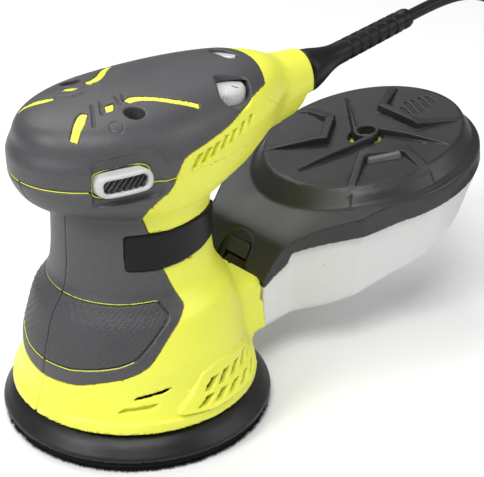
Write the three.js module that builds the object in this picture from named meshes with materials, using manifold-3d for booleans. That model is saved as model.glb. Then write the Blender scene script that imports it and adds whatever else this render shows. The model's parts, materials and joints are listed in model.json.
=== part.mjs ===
// Random orbital sander: palm grip, side dust box, 125 mm pad, mains cord.
// Millimetres, +Z up, +X to the rear (dust box and cord), origin on the sanding face below the pad's centre.
import * as THREE from 'three';
import { mergeVertices } from 'three/addons/utils/BufferGeometryUtils.js';
import Module from 'manifold-3d';

const wasm = await Module();
wasm.setup();

// ---- driving dimensions ----
const GAP = 0.3;                 // clearance between touching pieces
const FACETS = 28;               // sides of a body section
const PAD_RADIUS = 62.5;         // 125 mm pad
const ORBIT = 1.2;               // the pad's centre runs on a circle of this radius
const PARTING = 129;             // height of the joint between the housing and the upper cover
const SKIRT_BOTTOM = 16.4;
const HEAD_TOP = 156;
const SKIN = 2.0;                // thickness of the soft overmould
const WALL = 4.4;                // overmould and shell wall together
const PORT_END = 59.6;           // rear face of the dust port
const NECK_END = 104;            // rear face of the neck
const NECK_AXIS = 134.2;         // height of the cord's exit
const CORD_DIAMETER = 6;
const SWITCH = { x: -27.7, z: 131.7, width: 22.6, height: 12.6, tilt: 0.09 };
const DIAL = { x: 40, y: -17, radius: 12.4, bottom: 142.5, top: 151.5 };
const SCREW = { x: -12.2, y: 22.1, hole: 4.3 };
const LENS = { x: 58, width: 6.4, length: 20 };
const HALF_SCREWS = [[34, 115.5], [62, 121.5]];  // [x, z] of the screws that hold the halves, along Y
const GUARD_TILT = 0.131;        // the guard and the cord's exit point a little upwards
const GUARD_LENGTH = 74;
const PLUG_X = 322;
const COIL = { x: 276, y: -72, inner: 25, pitch: 6, layers: 4, turns: 3, lift: 1.4 };
const BOX_CENTRE = 151;          // centre of the dust box's oval
const BOX_SLOPE = 0.131;         // the dust box's top rises to the rear

// barrel and skirt: height, radius
const BARREL = [[SKIRT_BOTTOM, 56.5], [24, 53.8], [34, 50.9], [42, 49.9], [52.4, 47.3], [61.9, 44.3],
  [68.4, 39.7], [75.6, 36.2], [88, 34.7], [118, 34.1]];
// palm head: height, front, rear, half width
const HEAD = [[110.6, 35, 36, 34.6], [112.8, 43, 48, 37], [120, 51.6, 68, 39.4], [129, 55.2, 80, 40.2],
  [136, 55.4, 84.5, 40.2], [142, 52.4, 83.5, 38.2], [147, 47, 79, 34.4], [151.4, 37.4, 69, 28],
  [154.4, 24.6, 50, 17.6], [HEAD_TOP, 7, 16, 5]];
// neck: distance back, bottom, top, half width
const NECK = [[18, 109, 150, 32], [36, 107.6, 150, 30], [50, 110, 149.8, 25], [65, 112.6, 149, 20.4],
  [80, 114.4, 148.2, 15.8], [93, 115.4, 147.4, 12.4], [NECK_END, 118.6, 146.4, 10.8]];

// ---- solids and meshes ----
const sander = new THREE.Group();
const colours = {
  yellow: [0xe6e85c, 0.42, 0], grey: [0x5b5a5f, 0.7, 0], inset: [0x4c4b50, 0.85, 0],
  black: [0x141414, 0.6, 0], lightGrey: [0xd2d3d1, 0.45, 0], darkPlastic: [0x3b3b3d, 0.5, 0],
  frosted: [0xcfd0ce, 0.35, 0], steel: [0xb4b6b8, 0.3, 1], copper: [0xb06a3a, 0.35, 1],
  rubber: [0x1c1c1c, 0.9, 0], brass: [0xc2a04a, 0.35, 1], laminate: [0x7d7f82, 0.5, 0.8],
  board: [0x2b5a3a, 0.6, 0], carbon: [0x2a2a2a, 0.8, 0], cream: [0xd9d4c4, 0.6, 0],
};

function toSolid(geometry) {
  const bare = geometry.clone();
  bare.deleteAttribute('normal');
  bare.deleteAttribute('uv');
  const merged = mergeVertices(bare, 1e-4);
  const vertProperties = new Float32Array(merged.attributes.position.array);
  const triVerts = new Uint32Array(merged.index.array);
  return new wasm.Manifold(new wasm.Mesh({ numProp: 3, vertProperties, triVerts }));
}

function toGeometry(solid) {
  const { vertProperties, triVerts } = solid.getMesh();
  const geometry = new THREE.BufferGeometry();
  geometry.setAttribute('position', new THREE.BufferAttribute(new Float32Array(vertProperties), 3));
  geometry.setIndex(new THREE.BufferAttribute(new Uint32Array(triVerts), 1));
  geometry.computeVertexNormals();
  return geometry;
}

function put(name, shape, finish) {
  const [color, roughness, metalness] = colours[finish];
  const geometry = shape.isBufferGeometry ? shape : toGeometry(shape);
  const mesh = new THREE.Mesh(geometry, new THREE.MeshStandardMaterial({ color, roughness, metalness }));
  mesh.name = name;
  sander.add(mesh);
}

const join = (first, ...rest) => rest.reduce((sum, solid) => sum.add(solid), first);
const cut = (first, ...rest) => rest.reduce((sum, solid) => sum.subtract(solid), first);

// The same solid on the other side of the plane Y = 0.
function flipped(solid) {
  const { vertProperties, triVerts } = solid.getMesh();
  const mirror = vertProperties.map((value, i) => (i % 3 === 1 ? -value : value));
  const turned = triVerts.map((_, i) => triVerts[3 * Math.floor(i / 3) + 2 - (i % 3)]);
  return new wasm.Manifold(new wasm.Mesh({ numProp: 3, vertProperties: mirror, triVerts: turned }));
}

function place(geometry, x, y, z) {
  return geometry.translate(x, y, z);
}

function box(x0, x1, y0, y1, z0, z1) {
  const geometry = new THREE.BoxGeometry(x1 - x0, y1 - y0, z1 - z0);
  return toSolid(place(geometry, (x0 + x1) / 2, (y0 + y1) / 2, (z0 + z1) / 2));
}

function post(x, y, radius, z0, z1, sides = 14) {
  const geometry = new THREE.CylinderGeometry(radius, radius, z1 - z0, sides).rotateX(Math.PI / 2);
  return toSolid(place(geometry, x, y, (z0 + z1) / 2));
}

// A turned piece: the profile is a closed list of [radius, height], counter-clockwise.
function turned(profile, x = 0, y = 0, sides = 28) {
  const points = [...profile, profile[0]].map(([r, z]) => new THREE.Vector2(r, z));
  return toSolid(place(new THREE.LatheGeometry(points, sides).rotateX(Math.PI / 2), x, y, 0));
}

function ring(inner, outer, z0, z1, x = 0, y = 0, sides = 24) {
  return turned([[inner, z0], [outer, z0], [outer, z1], [inner, z1]], x, y, sides);
}

// Rings of equal length, each counter-clockwise seen from the last ring's side, closed by fans.
function loft(rings) {
  const count = rings[0].length;
  const positions = rings.flat().flat();
  const index = [];
  for (let i = 0; i + 1 < rings.length; i += 1) {
    for (let j = 0; j < count; j += 1) {
      const a = i * count + j;
      const b = i * count + (j + 1) % count;
      index.push(a, b, b + count, a, b + count, a + count);
    }
  }
  const middle = (points) => [0, 1, 2].map((k) => points.reduce((s, p) => s + p[k], 0) / count);
  positions.push(...middle(rings[0]), ...middle(rings.at(-1)));
  const start = rings.length * count;
  for (let j = 0; j < count; j += 1) {
    const next = (j + 1) % count;
    index.push(start, next, j, start + 1, start - count + j, start - count + next);
  }
  const geometry = new THREE.BufferGeometry();
  geometry.setAttribute('position', new THREE.Float32BufferAttribute(positions, 3));
  geometry.setIndex(index);
  return toSolid(geometry);
}

function oval(front, rear, half, z, sides = FACETS) {
  return Array.from({ length: sides }, (_, j) => {
    const angle = (2 * Math.PI * j) / sides;
    const length = Math.cos(angle) < 0 ? front : rear;
    return [length * Math.cos(angle), half * Math.sin(angle), z];
  });
}

// A flat outline in the XZ plane, extruded along Y from y0 to y1.
function sideways(outline, y0, y1) {
  const shape = new THREE.Shape(outline.map(([x, z]) => new THREE.Vector2(x, z)));
  const geometry = new THREE.ExtrudeGeometry(shape, { depth: y1 - y0, bevelEnabled: false });
  return toSolid(place(geometry.rotateX(Math.PI / 2), 0, y1, 0));
}

// ---- the outside of the body, grown by a distance (negative: shrunk) ----
function barrel(grow) {
  return loft(BARREL.map(([z, r]) => oval(r + grow, r + grow, r + grow, z)));
}

function head(grow, levels = HEAD, sides = FACETS) {
  const middle = (HEAD_TOP + HEAD[0][0]) / 2;
  const reach = HEAD_TOP - middle;
  const rise = (z) => middle + ((z - middle) * (reach + grow)) / reach;
  return loft(levels.map(([z, front, rear, half]) => oval(Math.max(front + grow, 2), Math.max(rear + grow, 5),
    Math.max(half + grow, 1.5), rise(z), sides)));
}

function neck(grow, end = 0, sides = 16) {
  return loft(NECK.map(([x, low, high, half], i) => {
    const back = i === NECK.length - 1 ? x + end : x;
    return Array.from({ length: sides }, (_, j) => {
      const angle = (2 * Math.PI * j) / sides;
      const middle = (low + high) / 2;
      return [back, (half + grow) * Math.cos(angle), middle + ((high - low) / 2 + grow) * Math.sin(angle)];
    });
  }));
}

// The dust port: a flat-sided duct narrowing upwards.
function port(x0, x1, grow) {
  const low = 22 - grow;
  const high = 49 + grow;
  const profile = [[-25.5 - grow, low + 3], [-22.5 - grow, low], [22.5 + grow, low], [25.5 + grow, low + 3],
    [22 + grow, high - 3], [19 + grow, high], [-19 - grow, high], [-22 - grow, high - 3]];
  return loft([x0, x1].map((x) => profile.map(([y, z]) => [x, y, z])));
}

const outside = (grow) => join(barrel(grow), head(grow), neck(grow), port(20, PORT_END, grow));
const BODY = outside(0);
const UNDER_SKIN = outside(-SKIN);
const UNDER_SKIN_CLEAR = outside(-SKIN - GAP);

// A wedge of directions, from angle to angle (degrees), at each height.
function wedge(levels) {
  const reach = 130;
  const steps = 14;
  return loft(levels.map(([z, from, to]) => {
    const arc = Array.from({ length: steps + 1 }, (_, j) => {
      const angle = THREE.MathUtils.degToRad(from + ((to - from) * j) / steps);
      return [reach * Math.cos(angle), reach * Math.sin(angle), z];
    });
    return [[0, 0, z], ...arc];
  }));
}

// The wedge grown by a small distance in every direction, for the clearance round a skin.
function wideWedge(levels, grow) {
  const turn = grow / 0.65;
  const widened = levels.map(([z, from, to]) => [z, Math.max(from - turn, -179.95), to + turn]);
  const raised = (step) => wedge(widened.map(([z, from, to]) => [z + step, from, to]));
  return join(raised(-grow), wedge(widened), raised(grow));
}

// ---- regions of the right-hand overmoulds (negative Y), mirrored for the other side ----
const FRONT_EDGE = [[33.6, 178.5], [36, 155], [40.2, 133], [43.4, 125], [48.6, 118], [62.7, 101.4],
  [68.1, 94.4], [78, 100.7], [85.1, 105.5], [103.1, 114.7], [110.7, 118], [116, 104], [122, 82],
  [128.8, 70]].map(([z, angle]) => [z, -179.6, -angle]);

const INSET_EDGE = [[41, -172, -150], [43.5, -175.5, -137], [48.8, -176, -126.4], [61.7, -176, -112.6],
  [66.5, -175.5, -105], [70.8, -174, -112]];

const BADGE_EDGE = [[85.6, -131.6, -50], [102.8, -131.6, -50]];

const greyTop = (grow) => sideways([[-80, PARTING + 0.15 - grow], [-6 + grow, PARTING + 0.15 - grow],
  [-2.2 + grow, 134.6 - grow], [0.7, 137 - grow], [8, 138.4 - grow], [20.6, 140.6 - grow], [35, 143 - grow],
  [46, 144.5 - grow], [54, 145.4 - grow], [58, 147.3 - grow], [63, 150.1 - grow], [66.5 + grow, 151.7 - grow],
  [67.5 + grow, 162], [-80, 162]], -60, 60);

// inlay strips on the head: pairs of plan points
const INLAYS = [
  [[-40.2, 17.6], [-32, 14.5]], [[-33, 15.3], [-26.3, 10.2]], [[-19.6, 13.4], [-15.8, 11]],
  [[-9, 13.6], [-3.4, 19]], [[-4.4, 18.4], [14.6, 32]],
];

function inlayBlocks(grow) {
  const blocks = [];
  for (const side of [-1, 1]) {
    for (const [[x0, y0], [x1, y1]] of INLAYS) {
      const length = Math.hypot(x1 - x0, y1 - y0) + 2 * grow;
      const strip = new THREE.BoxGeometry(length, 3.4 + 2 * grow, 40);
      strip.rotateZ(Math.atan2(side * (y1 - y0), x1 - x0));
      blocks.push(toSolid(place(strip, (x0 + x1) / 2, (side * (y0 + y1)) / 2, 160)));
    }
  }
  return join(...blocks);
}

// ---- switch outline: a tilted lozenge with round ends, running along Y ----
function lozenge(width, height, y0, y1) {
  const outline = [];
  const half = width / 2 - height / 2;
  for (let j = 0; j < 16; j += 1) {
    const angle = (2 * Math.PI * j) / 16 + Math.PI / 16;
    const x = Math.sign(Math.cos(angle)) * half + (height / 2) * Math.cos(angle);
    const z = (height / 2) * Math.sin(angle);
    outline.push([SWITCH.x + x - z * SWITCH.tilt, SWITCH.z + z + x * SWITCH.tilt]);
  }
  return sideways(outline, y0, y1);
}

// ---- housing, cover and overmoulds ----
const RIGHT = box(-150, 150, -150, -GAP / 2, -10, 220);
const LEFT = box(-150, 150, GAP / 2, 150, -10, 220);
const BELOW = box(-150, 150, -150, 150, -10, PARTING - GAP / 2);
const ABOVE = box(-150, 150, -150, 150, PARTING + GAP / 2, 220);

function hollow() {
  const chamber = loft([[0, 54.2], [SKIRT_BOTTOM, 54.2], [24, 51.4], [34, 48.4], [42, 47.3], [50.8, 44.6]]
    .map(([z, r]) => oval(r, r, r, z, 24)));
  const motorRoom = loft([[50, 44.6], [61, 41.3], [68.4, 35], [75, 31.6], [84, 30.6], [122, 30]]
    .map(([z, r]) => oval(r, r, r, z, 24)));
  const coarse = HEAD.filter((_, i) => i % 2 === 1 || i === 0);
  return join(chamber, motorRoom, head(-WALL, coarse, 20), neck(-WALL + 1.4, -3, 12), port(10, 80, -4));
}

function ventSlots() {
  const slots = [];
  for (let i = 0; i < 7; i += 1) {
    const slot = new THREE.BoxGeometry(2.2, 120, 7.6 - i * 0.6);
    slot.rotateY(0.72);
    slots.push(toSolid(place(slot, 6.5 + i * 5.8, 0, 132.6 + i * 1.2)));
  }
  return join(...slots);
}

const HOLLOW = hollow();
const SWITCH_OPENING = lozenge(SWITCH.width + 0.8, SWITCH.height + 0.8, -60, 60);
const DIAL_OPENING = post(DIAL.x, DIAL.y, DIAL.radius + 0.5, DIAL.bottom - 0.4, 170, 32);
const CORD_BORE = loft([NECK_END - 8, NECK_END + 4].map((x) => Array.from({ length: 16 }, (_, j) => {
  const angle = (2 * Math.PI * j) / 16;
  return [x, 7 * Math.cos(angle), NECK_AXIS + 7 * Math.sin(angle)];
})));
const lensBlock = (grow) => box(LENS.x - LENS.width / 2 - grow, LENS.x + LENS.width / 2 + grow,
  -LENS.length / 2 - grow, LENS.length / 2 + grow, 146, 170);

function coverScrewHoles() {
  const cuts = [-1, 1].map((side) => join(
    post(SCREW.x, side * SCREW.y, SCREW.hole, 136, 180),
    post(SCREW.x, side * SCREW.y, 2.2, 100, 140, 12),
  ));
  return join(...cuts);
}

function along(x, z, radius, y0, y1, sides = 12) {
  const geometry = new THREE.CylinderGeometry(radius, radius, y1 - y0, sides);
  return toSolid(place(geometry, x, (y0 + y1) / 2, z));
}

function buildHousing() {
  const bothSides = (levels, grow) => {
    const right = wideWedge(levels, grow);
    return join(right, flipped(right));
  };
  const overmouldRegions = bothSides(FRONT_EDGE, 0.25);
  const badgeRegions = bothSides(BADGE_EDGE, 0.3);
  const seam = box(-80, 0, -2, 2, 33, PARTING);
  const trimmed = cut(BODY, cut(join(overmouldRegions, seam), UNDER_SKIN_CLEAR),
    cut(badgeRegions, outside(-1)));
  let shell = cut(trimmed, HOLLOW, ventSlots(), CORD_BORE);
  const bosses = [-1, 1].map((side) => post(SCREW.x, side * SCREW.y, 5.6, 104, PARTING - GAP / 2));
  bosses.push(...HALF_SCREWS.map(([x, z]) => along(x, z, 4.6, -40, 40).intersect(BODY)));
  const screwPaths = HALF_SCREWS.flatMap(([x, z]) => [along(x, z, 1.8, -12, 40), along(x, z, 3.6, 8, 60)]);
  shell = cut(join(shell, ...bosses), coverScrewHoles(), SWITCH_OPENING, ...screwPaths).intersect(BELOW);
  put('housing_right', shell.intersect(RIGHT), 'yellow');
  put('housing_left', shell.intersect(LEFT), 'yellow');
}

function buildCover() {
  const bosses = [-1, 1].map((side) => post(SCREW.x, side * SCREW.y, 6.4, PARTING + GAP / 2, 149));
  const inlays = inlayBlocks(0).intersect(BODY);
  const held = join(...bosses).intersect(UNDER_SKIN_CLEAR);
  const trimmed = join(cut(BODY, cut(greyTop(0.25), UNDER_SKIN_CLEAR), HOLLOW), held);
  const shell = cut(join(trimmed, cut(inlays, HOLLOW)), ventSlots(), SWITCH_OPENING, DIAL_OPENING,
    lensBlock(0.3), coverScrewHoles(), CORD_BORE);
  put('upper_cover', shell.intersect(ABOVE), 'yellow');
}

function buildOvermoulds() {
  const skin = cut(BODY, UNDER_SKIN);
  const top = cut(skin.intersect(greyTop(0)), inlayBlocks(0.3), SWITCH_OPENING, DIAL_OPENING, lensBlock(0.3),
    coverScrewHoles());
  put('top_grip_overmould', top, 'grey');
  const insetPocket = cut(wideWedge(INSET_EDGE, 0.3), outside(-1.1));
  const front = cut(skin.intersect(wedge(FRONT_EDGE)), insetPocket, wideWedge(BADGE_EDGE, 0.5), SWITCH_OPENING)
    .intersect(BELOW);
  const inset = cut(outside(0.3), outside(-0.8)).intersect(wedge(INSET_EDGE));
  const badge = cut(outside(0.7), outside(-0.7)).intersect(wedge(BADGE_EDGE));
  const skins = [['front_overmould', front, 'grey'], ['grip_inset', inset, 'inset'],
    ['badge', badge, 'black']];
  for (const [name, shape, finish] of skins) {
    put(`${name}_right`, shape, finish);
    put(`${name}_left`, flipped(shape), finish);
  }
}

// ---- switch, dial, lens and board ----
function buildControls() {
  const reach = 50;
  const bar = join(lozenge(SWITCH.width, SWITCH.height, -reach, -22),
    lozenge(SWITCH.width, SWITCH.height, 22, reach), box(SWITCH.x - 4, SWITCH.x + 4, -23, 23, 129.5, 135));
  const faces = join(lozenge(17.4, 7.4, -reach, -10), lozenge(17.4, 7.4, 10, reach));
  const pockets = cut(faces, outside(-0.8));
  put('switch_bar', cut(bar.intersect(outside(1.2)), pockets), 'lightGrey');
  const ribs = cut(outside(0.4), outside(-0.5));
  put('switch_insert_right', ribs.intersect(lozenge(16.8, 6.8, -reach, -10)), 'darkPlastic');
  put('switch_insert_left', ribs.intersect(lozenge(16.8, 6.8, 10, reach)), 'darkPlastic');
  put('switch_module', box(-36, -20, -12, 12, 118, 127.6), 'darkPlastic');
  const wheel = cut(post(DIAL.x, DIAL.y, DIAL.radius, DIAL.bottom, DIAL.top, 32),
    post(DIAL.x, DIAL.y, 3, DIAL.bottom - 1, DIAL.bottom + 6, 16));
  put('speed_dial', wheel, 'lightGrey');
  const board = join(box(26, 56, -22, 14, 136, 137.6), post(DIAL.x, DIAL.y, 5.5, 137, 141.8, 16),
    post(DIAL.x, DIAL.y, 2.6, 140, DIAL.bottom + 5.6, 16), box(28, 36, -6, 10, 137, 142));
  put('speed_control_board', board, 'board');
  put('indicator_lens', lensBlock(0).intersect(cut(outside(0.2), outside(-3.2))), 'lightGrey');
}

// ---- motor ----
function buildMotor() {
  const shaft = turned([[0, 20], [4, 20], [4, 119], [0, 119]], 0, 0, 20);
  const pin = post(ORBIT, 0, 4, 13.5, 21, 20);
  put('motor_shaft', join(shaft, pin), 'steel');
  put('counterweight', join(ring(4 + GAP, 15, 26, 33), cut(turned([[0, 26], [26, 26], [26, 33], [0, 33]]),
    box(-6, 40, -40, 40, 20, 40), post(0, 0, 5, 20, 40))), 'steel');
  const blades = Array.from({ length: 9 }, (_, i) => {
    const blade = new THREE.BoxGeometry(22, 1.6, 9);
    place(blade, 25, 0, 40.5);
    return toSolid(blade.rotateZ((2 * Math.PI * i) / 9));
  });
  put('fan', join(ring(4 + GAP, 37, 44, 46), ring(4 + GAP, 9, 36, 45, 0, 0, 24), ...blades), 'darkPlastic');
  put('lower_bearing', ring(4 + GAP, 11, 54, 60, 0, 0, 20), 'steel');
  put('rotor_stack', ring(4 + GAP, 17, 66, 92, 0, 0, 20), 'laminate');
  put('commutator', ring(4 + GAP, 9, 97, 108, 0, 0, 24), 'copper');
  put('upper_bearing', ring(4 + GAP, 8, 112, 117, 0, 0, 24), 'steel');
  put('stator', cut(ring(17.8, 29.2, 64, 93, 0, 0, 32), box(-40, 40, -5, 5, 84, 100)), 'laminate');
  const spokes = Array.from({ length: 3 }, (_, i) => {
    const spoke = new THREE.BoxGeometry(30, 8, 3);
    place(spoke, 26, 0, 55.7);
    return toSolid(spoke.rotateZ((2 * Math.PI * i) / 3 + 0.5));
  });
  put('bearing_bracket', join(ring(11 + GAP, 15, 53.4, 60.4, 0, 0, 20), ring(38, 41.6, 53.4, 57.2), ...spokes),
    'darkPlastic');
  put('top_bearing_holder', join(ring(8 + GAP, 12, 111.6, 118, 0, 0, 24),
    box(-16.5, -11, -4, 4, 113, 116.4), box(11, 28, -4, 4, 113, 117)), 'darkPlastic');
  for (const [side, name] of [[-1, 'right'], [1, 'left']]) {
    const near = side * 11;
    const far = side * 27;
    const span = (a, b) => [Math.min(a, b), Math.max(a, b)];
    const [h0, h1] = span(near, far);
    const [b0, b1] = span(side * 9.3, side * 22);
    put(`brush_holder_${name}`, cut(box(-5.4, 5.4, h0, h1, 97.5, 107.5),
      box(-3.4, 3.4, h0 - 5, h1 + 5, 99.2, 105.8)), 'brass');
    put(`carbon_brush_${name}`, box(-3, 3, b0, b1, 99.6, 105.4), 'carbon');
  }
}

// ---- pad ----
function dustHoles(z0, z1) {
  const holes = Array.from({ length: 8 }, (_, i) => {
    const angle = (2 * Math.PI * (i + 0.5)) / 8;
    return post(ORBIT + 32.5 * Math.cos(angle), 32.5 * Math.sin(angle), 5, z0, z1, 8);
  });
  return join(...holes);
}

function buildPad() {
  const disc = (radius, z0, z1) => turned([[0, z0], [radius, z0], [radius, z1], [0, z1]], ORBIT, 0, 36);
  const screws = (radius, z0, z1) => [0, 1, 2].map((i) => post(ORBIT + 10.5 * Math.cos(2.1 * i),
    10.5 * Math.sin(2.1 * i), radius, z0, z1, 8));
  const plate = turned([[0, 5], [61.6, 5], [PAD_RADIUS, 6.4], [57, 12.6], [52.6, 14.4], [46, 11],
    [17, 9.4], [0, 9.4]], ORBIT, 0, 36);
  put('pad_plate', cut(plate, dustHoles(0, 20), ...screws(2.3, 0, 20), post(ORBIT, 0, 6, 7.6, 12, 16)),
    'rubber');
  put('pad_foam', cut(disc(61, 1.3, 4.7), dustHoles(0, 8)), 'black');
  put('pad_hook_layer', cut(disc(60.6, 0, 1), dustHoles(-2, 4)), 'rubber');
  const hub = turned([[4.6, 9.7], [14, 9.7], [14, 22.6], [11.6, 22.6], [11.6, 12.2], [4.6, 12.2]],
    ORBIT, 0, 20);
  put('pad_hub', cut(hub, ...screws(2.3, 9, 12.2)), 'steel');
  put('pad_bearing', ring(4 + GAP, 11.3, 13, 20, ORBIT, 0, 20), 'steel');
  screws(2, 5.3, 11.8).forEach((screw, i) => put(`pad_screw_${i + 1}`, screw, 'steel'));
  put('pad_brake_ring', ring(47.4, 49.6, 15.4, 25, 0, 0, 32), 'rubber');
}

// ---- dust box ----
const boxTop = (x) => 70.6 + BOX_SLOPE * (x - BOX_CENTRE);
const boxFloor = (x) => 20.6 + Math.max(0, (x - 66) * 0.1) + Math.max(0, (x - 96) * 0.2);
// Near the port the joint between box and lid curves down.
const dip = (x) => (x < 76 ? 12.5 * ((76 - x) / 16) ** 1.6 : 0);

// Plan outline of the dust box: an oval at the rear drawn out to the port. grow moves it outwards.
function boxOutline(grow, shrink = 0, sides = 26) {
  const a = 62 + grow - shrink;
  const b = 55 + grow - shrink;
  const frontX = 60 - Math.min(grow, 0);
  const frontHalf = 23.5 + grow;
  const touch = Math.acos(-0.42);
  const arc = Array.from({ length: sides + 1 }, (_, j) => {
    const angle = -touch + (2 * touch * j) / sides;
    return [BOX_CENTRE + a * Math.cos(angle), b * Math.sin(angle)];
  });
  const flank = [[frontX + 16, frontHalf + 5.4], [frontX + 8, frontHalf + 2.6], [frontX, frontHalf]];
  return [...arc, ...flank, ...flank.reverse().map(([x, y]) => [x, -y])];
}

const prism = (outline) => loft([0, 130].map((z) => outline.map(([x, y]) => [x, y, z])));

// The part of space between two heights that depend on x.
function between(low, high) {
  const stations = [50, 60, 62.5, 65, 68, 71, 76, 230];
  const under = stations.map((x) => [x, low(x)]);
  const over = stations.map((x) => [x, high(x)]).reverse();
  return sideways([...under, ...over], -80, 80);
}

const lidLow = (x) => boxTop(x) - dip(x);
const lidHigh = (x) => boxTop(x) + 9.6 - 1.1 * dip(x);

function boxSolid(grow, bottomShift) {
  const low = boxOutline(grow, 9);
  const mid = boxOutline(grow, 5.5);
  return loft([
    low.map(([x, y]) => [x, y, boxFloor(x) + bottomShift]),
    mid.map(([x, y], i) => [x, y, boxFloor(low[i][0]) + 5 + bottomShift]),
    boxOutline(grow).map(([x, y]) => [x, y, boxTop(x) + 5]),
  ]);
}

function lidOval(a, b, rise) {
  return Array.from({ length: 30 }, (_, j) => {
    const angle = (2 * Math.PI * j) / 30;
    const x = BOX_CENTRE + a * Math.cos(angle);
    return [x, b * Math.sin(angle), 89 + BOX_SLOPE * (x - BOX_CENTRE) + rise];
  });
}

function buildDustBox() {
  const boxTopGap = (x) => lidLow(x) - GAP;
  const wall = 2;
  const inlet = box(50, 72, -14, 14, 28, 41);
  const canister = cut(boxSolid(0, 0), boxSolid(-wall, wall), inlet, between(boxTopGap, () => 140));
  put('dust_box', canister, 'frosted');
  const spout = cut(box(46, 60.2, -13.6, 13.6, 28.4, 40.6), box(40, 70, -11.6, 11.6, 30.4, 38.6));
  put('dust_spout', spout, 'darkPlastic');
  put('spout_seal', cut(box(49, 57, -15.6, 15.6, 26.4, 42.6), box(40, 70, -13.9, 13.9, 28.1, 40.9)), 'rubber');
  const rim = prism(boxOutline(0.6)).intersect(between(lidLow, lidHigh));
  const dome = loft([lidOval(63, 55.6, -14), lidOval(62, 54.6, -12.6), lidOval(55.4, 45.8, -0.8),
    lidOval(54.3, 44.7, 0)]);
  const inner = loft([lidOval(56, 48.6, -32), lidOval(56, 48.6, -15), lidOval(51, 41.6, -3)]);
  const under = prism(boxOutline(-3.4)).intersect(between(() => 20, (x) => lidHigh(x) - 2.8));
  const hubHole = post(BOX_CENTRE, 0, 8, 60, 120, 24);
  const latchSlot = box(69.5, 80.5, -9, 9, 40, 90);
  put('dust_lid', cut(join(rim, dome), inner, under, hubHole, latchSlot), 'darkPlastic');
  put('cyclone_ring', ring(5.6, 7.6, 76, 90, BOX_CENTRE, 0, 24), 'yellow');
  put('filter_cone', turned([[0, 50], [10, 50], [22, 73], [22, 75.6], [19, 75.6], [8, 52.5], [0, 52.5]],
    BOX_CENTRE), 'cream');
  put('box_latch', box(70, 80, -8.5, 8.5, 61, 68.4), 'darkPlastic');
}

// ---- cord guard, cord, coil and plug ----
// Turned about X from a profile of [distance back, radius], laid along the guard's tilted axis.
function backwards(profile, sides) {
  const points = profile.map(([x, r]) => new THREE.Vector2(r, x));
  const geometry = new THREE.LatheGeometry(points, sides).rotateZ(-Math.PI / 2).rotateY(-GUARD_TILT);
  return toSolid(place(geometry, NECK_END + 1.7, 0, NECK_AXIS));
}

// The cord's hand-laid route, from the guard's end down to the top of the coil.
const ROUTE = [
  [179.4, 0, 143.9], [197, 0, 146.2], [214, -1, 147.6], [229, -4, 146.2], [240, -9, 140.6], [246, -15, 130],
  [248.5, -21, 116], [249, -27, 98], [248, -33, 80], [246, -39, 64], [243, -45, 50], [239, -52, 38.5],
  [235.4, -60, 31],
];

// From the bottom of the coil along the floor to the plug.
const TAIL = [[322, -47.4, 4.4], [322, -42, 4.9], [322, -36.4, 6.6], [322, -31, 8.2]];

function tube(points, steps) {
  const path = new THREE.CatmullRomCurve3(points.map((p) => new THREE.Vector3(...p)));
  const section = new THREE.Shape().absarc(0, 0, CORD_DIAMETER / 2, 0, 2 * Math.PI);
  return toSolid(new THREE.ExtrudeGeometry(section, { steps, extrudePath: path, curveSegments: 5 }));
}

function tie() {
  const band = cut(box(19, 51.2, -6, 6, 0, 28), box(20.4, 49.6, -8, 8, 1.1, 26.6));
  return toSolid(toGeometry(band).rotateZ(0.9).translate(COIL.x, COIL.y, 0));
}

function buildCord() {
  put('cord_guard', backwards([[0, 0], [0, 10], [3, 10.2], [9, 9], [16, 6.6], [20, 5.5], [24, 5.3],
    [GUARD_LENGTH - 2, 5.2], [GUARD_LENGTH, 4.4], [GUARD_LENGTH, 0]], 20), 'rubber');
  put('cord_clamp', cut(box(80, 88, -8, 8, 128, 138.4), box(76, 95, -3.2, 3.2, 130.4, 137)), 'darkPlastic');
  put('power_cord', tube(ROUTE, 22), 'rubber');
  const outer = COIL.inner + COIL.turns * COIL.pitch + CORD_DIAMETER / 2;
  const hole = COIL.inner - CORD_DIAMETER / 2;
  const top = COIL.lift + COIL.layers * COIL.pitch;
  put('cord_coil', turned([[hole, COIL.lift], [outer + 3, COIL.lift], [outer + 3, COIL.lift + COIL.pitch],
    [outer, COIL.lift + COIL.pitch + 0.3], [outer, top], [hole, top]], COIL.x, COIL.y, 28), 'rubber');
  put('cord_tie', tie(), 'black');
  put('cord_tail', tube(TAIL, 4), 'rubber');
  put('plug_body', join(box(308.5, 335.5, -20, 12, 0, 17), box(314.5, 329.5, -30, -20, 2, 15)), 'rubber');
  for (const [i, side] of [-1, 1].entries()) {
    put(`plug_pin_${i + 1}`, along(PLUG_X + side * 9.5, 8.5, 2.4, 12.3, 31.3, 8), 'steel');
  }
}

function buildScrews() {
  for (const [i, side] of [-1, 1].entries()) {
    const head = post(SCREW.x, side * SCREW.y, 3.7, 136.3, 139, 12);
    put(`cover_screw_${i + 1}`, join(head, post(SCREW.x, side * SCREW.y, 1.8, 112, 137, 8)), 'steel');
  }
  for (const [i, [x, z]] of HALF_SCREWS.entries()) {
    put(`housing_screw_${i + 1}`, join(along(x, z, 3.2, 8.3, 11, 12), along(x, z, 1.5, -10, 9, 8)), 'steel');
  }
}

buildHousing();
buildCover();
buildOvermoulds();
buildControls();
buildMotor();
buildPad();
buildDustBox();
buildCord();
buildScrews();

export default sander;
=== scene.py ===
"""Random orbital sander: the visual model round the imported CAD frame.

Blender works in metres. The shape code works in millimetres, on distance fields that are negative inside.
"""
import json
import math

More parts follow.
